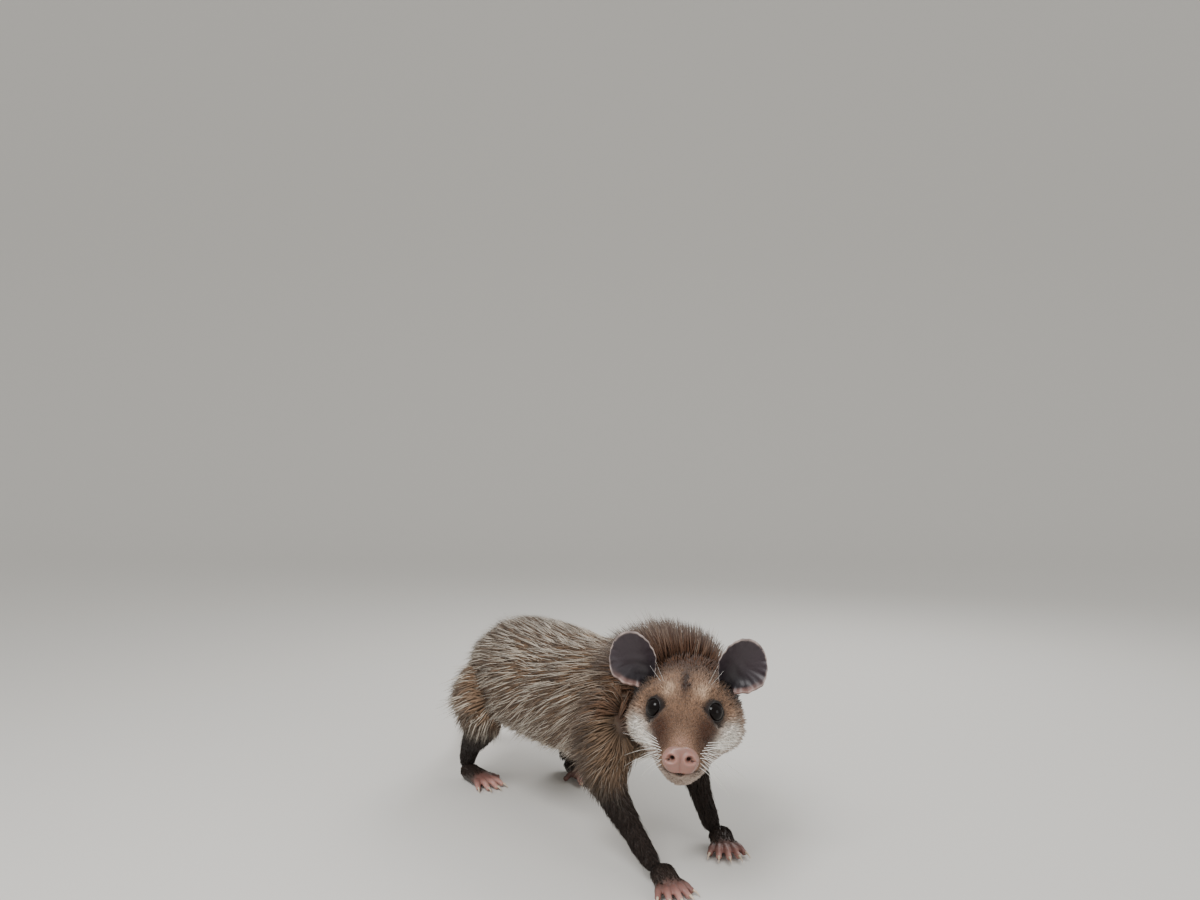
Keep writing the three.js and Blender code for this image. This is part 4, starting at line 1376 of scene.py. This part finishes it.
length = face_length(roots)
rise = np.interp(length, [1, 4, 10, 16], [0.28, 0.28, 0.36, 0.45])
rise = rise + 0.25 * smooth_steps(-roots[:, 2], 11, 17) * (1 - smooth_steps(roots[:, 1], -74, -60))
rise = rise + 0.25 * smooth_steps(roots[:, 2], 10, 20) * smooth_steps(roots[:, 1], -26, -8)
rise = rise + 0.14 * blob(roots, (27, -36, -8), (10, 18, 12))
colours = head_colours(roots)
hair_tip = blend(colours * 1.2, FACE_TIP, 0.2 * smooth_steps(-roots[:, 2], 0, 8))
turn = np.arctan2(roots[:, 2], roots[:, 0]) / (2 * math.pi) + 0.5
unwrap = np.column_stack([turn, np.clip((roots[:, 1] + 100) / 110, 0, 1)])
width = 0.42 + 0.035 * length
places, lie = moved(roots, HEAD_POSE), rotated(face_lie(roots))
args = (unwrap, places, rotated(normals), lie, length, width, rise, colours, hair_tip)
for i in range(FACE_PIECES):
    piece = [value[i::FACE_PIECES] for value in args]
    tufts(f"face_fur_{i + 1}", "face_fur", *piece, spread=0.3)

# %% [markdown]
# ## Body fur
#
# Over the body the coat has two kinds of hair. The dense underfur is pale with dark tips, and longer white
# guard hairs stand over it, which makes the grizzled grey-brown of an opossum. Behind the head the hair is
# thick and stands up as a crest. On the legs it is short, dark and close.

# %% Body roots
# Hair lengths in mm: on the trunk by the share of its line, and on the legs by the height over the floor.
TRUNK_HAIR = [0, 0.12, 0.3, 0.55, 0.9, 1], [17, 22, 25, 27, 24, 12]
LEG_HAIR = [8, 16, 30, 48, 66, 90], [3, 4.2, 7, 11, 19, 24]
body_points = coordinates(body_mesh)
body_corners = skin_triangles(body_mesh, body_points)
centres = triangle_centres(body_corners)
found = regions(centres)
is_leg = np.isin(found[0], list(leg_tubes))
ankle = np.where(is_leg, smooth_steps(centres[:, 2], 9.5, 12.5), 1)
inside_head = moved(centres, HEAD_POSE.inverted())
buried = (inside_head[:, 1] < -6) & (head_tube.locate(inside_head)[2] < 0.8)
density = np.where(is_leg, 1.5, 1.0) * ankle * ~buried
density = density * np.where((found[0] == "trunk") & (found[1] < 0.3), 1.5, 1)
BODY_TUFTS, BODY_PIECES, GUARD_HAIRS = 92000, 5, 8000


def body_tufts(label, count, pieces, guard):
    """Underfur or guard hair over the whole body, in a few pieces."""
    roots, normals = scatter(body_corners, density, count)
    name, t, angle, along = regions(roots)
    leg = np.isin(name, list(leg_tubes))
    top = np.where(leg, 0, np.sin(angle))
    height = roots[:, 2]
    on_leg = smooth_steps(-height, -62, -34) * leg
    length = np.interp(t, *TRUNK_HAIR) * (1 - 0.42 * smooth_steps(-top, 0.2, 0.9))
    length = np.where(leg, np.interp(height, *LEG_HAIR), length)
    neck = 1 - smooth_steps(roots[:, 1], 45, 100)
    crest = (1 - smooth_steps(t, 0.16, 0.32)) * smooth_steps(top, 0.3, 0.85) * ~leg
    length = length * (1 + 0.3 * crest)
    rise = 0.3 + 0.65 * crest
    down = np.array([0, 0, -1.0])
    lie = along + down * np.where(leg, 0.5, 0.62 * (1 - np.abs(top)))[:, None]
    shoulder = (leg * smooth_steps(height, 44, 70))[:, None]
    lie = lie + (np.array([0, 0.85, -0.55]) - lie) * shoulder
    colours = body_colours(roots, (name, t, angle, along))
    dark = blend(colours, UNDERFUR_DARK_TIP, 0.5 + 0.35 * rng.random(count))
    if guard:
        length = length * np.where(leg, 1.05, 1.3)
        rise = rise + 0.1
        shown = (1 - on_leg) * (1 - 0.75 * neck)
        colours = blend(colours, GUARD_PALE, 0.7 * shown)
        tips = blend(colours, GUARD_TIP, 0.8 * shown)
        width = np.full(count, 0.45)
    else:
        pale = blend(colours, UNDERFUR_PALE_TIP, 0.45 - 0.3 * neck)
        tips = np.where((rng.random(count) < 0.62)[:, None], dark, pale)
        tips = blend(tips, colours * 1.2, on_leg)
        width = np.where(leg, 0.5 + 0.02 * length, 0.78)
    strip = np.array([list(ALL_TUBES).index(n) for n in name])
    unwrap = np.column_stack([angle / (2 * math.pi) + 0.5, (t + strip) / len(ALL_TUBES)])
    bend = (0.55 if guard else 0.6) - 0.42 * crest
    highest = (12 if guard else 10.5) + 13 * crest
    args = (unwrap, roots, normals, lie, length, width, rise, colours, tips, bend, highest)
    for i in range(pieces):
        tufts(f"{label}_{i + 1}", "body_coat", *[value[i::pieces] for value in args])


body_tufts("underfur", BODY_TUFTS, BODY_PIECES, guard=False)
body_tufts("guard_hair", GUARD_HAIRS, 1, guard=True)

# %% The backs of the feet
FOOT_TUFTS = 1300
for mesh, leg in zip(foot_meshes, FOOT_PLACES):
    corners = skin_triangles(mesh, coordinates(mesh))
    local = moved(triangle_centres(corners), foot_matrix(leg).inverted())
    covered = smooth_steps(local[:, 1], -8, 2) * smooth_steps(local[:, 2], 4.5, 8)
    roots, normals = scatter(corners, covered, FOOT_TUFTS)
    local = moved(roots, foot_matrix(leg).inverted())
    length = np.interp(local[:, 1], [-8, 2, 9], [1.4, 2.4, 3.6])
    colours = np.tile(LEG_DARK, (len(roots), 1))
    unwrap = np.column_stack([local[:, 0] / 20 + 0.5, local[:, 1] / 60 + 0.5])
    lie = np.tile(np.array(foot_matrix(leg))[:3, :3] @ [0, -1, -0.35], (len(roots), 1))
    args = (unwrap, roots, normals, lie, length, np.full(len(roots), 0.4), 0.16, colours, colours * 1.3)
    tufts(f"foot_fur_{leg}", "leg_fur", *args)

# %% [markdown]
# ## The stage
#
# A pale floor that curves up into a pale wall keeps the eye on the animal. One large soft lamp stands high
# at the left, a weaker one fills the other side, and a third one behind picks out the edge of the fur. The
# camera has the photograph's own place: a little above the animal and ahead of its face.

# %% Floor
FLOOR_GREY = plain_shader("studio_paper", "#d9d6d1", 0.9)
VIEW = np.array([0.574, 0.819, 0])
ACROSS = np.array([0.819, -0.574, 0])
FLOOR_RUN, BEND_RADIUS, WALL_HEIGHT, FLOOR_HALF_WIDTH = 3.4, 1.2, 1.6, 4
BEND_RUN = math.pi / 2 * BEND_RADIUS
bm = bmesh.new()
bmesh.ops.create_grid(bm, x_segments=1, y_segments=40, size=1)
for vertex in bm.verts:
    way = (vertex.co.y + 1) / 2 * (FLOOR_RUN + BEND_RUN + WALL_HEIGHT)
    bent = min(max(way - FLOOR_RUN, 0), BEND_RUN) / BEND_RADIUS
    back = min(way, FLOOR_RUN) + BEND_RADIUS * math.sin(bent) - FLOOR_RUN / 2
    high = BEND_RADIUS * (1 - math.cos(bent)) + max(way - FLOOR_RUN - BEND_RUN, 0)
    place = VIEW * back + ACROSS * vertex.co.x * FLOOR_HALF_WIDTH
    vertex.co = (*place[:2], high)
mesh = mesh_of("studio_paper", bm)
shade_smooth(mesh)
paper = object_of("studio_paper", mesh, FLOOR_GREY)


# %% Lamps
FACE_AT = to_frame(moved(np.array([[0, -50, 0]]), HEAD_POSE))[0]
# Each lamp's way from the face in metres (ahead of the camera, across and up), its size and its watts.
LAMPS = {
    "key": (-0.5, -0.35, 0.75, 0.4, 7.5),
    "fill": (-0.7, 0.8, 0.25, 0.5, 2),
    "rim": (0.75, 0.25, 0.65, 0.4, 3.5),
}
for name, (ahead, aside, high, size, watts) in LAMPS.items():
    light = bpy.data.lights.new(name, "AREA")
    light.size = size
    light.energy = watts
    made = bpy.data.objects.new(name, light)
    bpy.context.scene.collection.objects.link(made)
    away = VIEW * ahead + ACROSS * aside + [0, 0, high]
    made.location = FACE_AT + away
    made.rotation_euler = Vector(-away).to_track_quat("-Z", "Y").to_euler()

ROOM_WHITE, ROOM_LIGHT = linear("#e6e6e4"), 0.9
world = bpy.data.worlds.new("pale_room")
world.use_nodes = True
background = world.node_tree.nodes["Background"]
background.inputs["Color"].default_value = (*ROOM_WHITE, 1)
background.inputs["Strength"].default_value = ROOM_LIGHT
bpy.context.scene.world = world

# %% Camera
LENS, SENSOR = 27, 36  # mm
CAMERA_AT = [-337, -384.2, 225.0]  # mm about the forefeet
AIM_ASIDE, AIM_UP = -0.0089, 0.0278  # for each metre ahead
camera_data = bpy.data.cameras.new("camera")
camera_data.lens = LENS
camera_data.sensor_width = SENSOR
camera = bpy.data.objects.new("camera", camera_data)
bpy.context.scene.collection.objects.link(camera)
camera.location = to_frame(CAMERA_AT)
forward = VIEW + AIM_ASIDE * ACROSS + np.array([0, 0, AIM_UP])
camera.rotation_euler = Vector(forward).to_track_quat("-Z", "Y").to_euler()
bpy.context.scene.camera = camera

# %% Update the scene
bpy.context.view_layer.update()
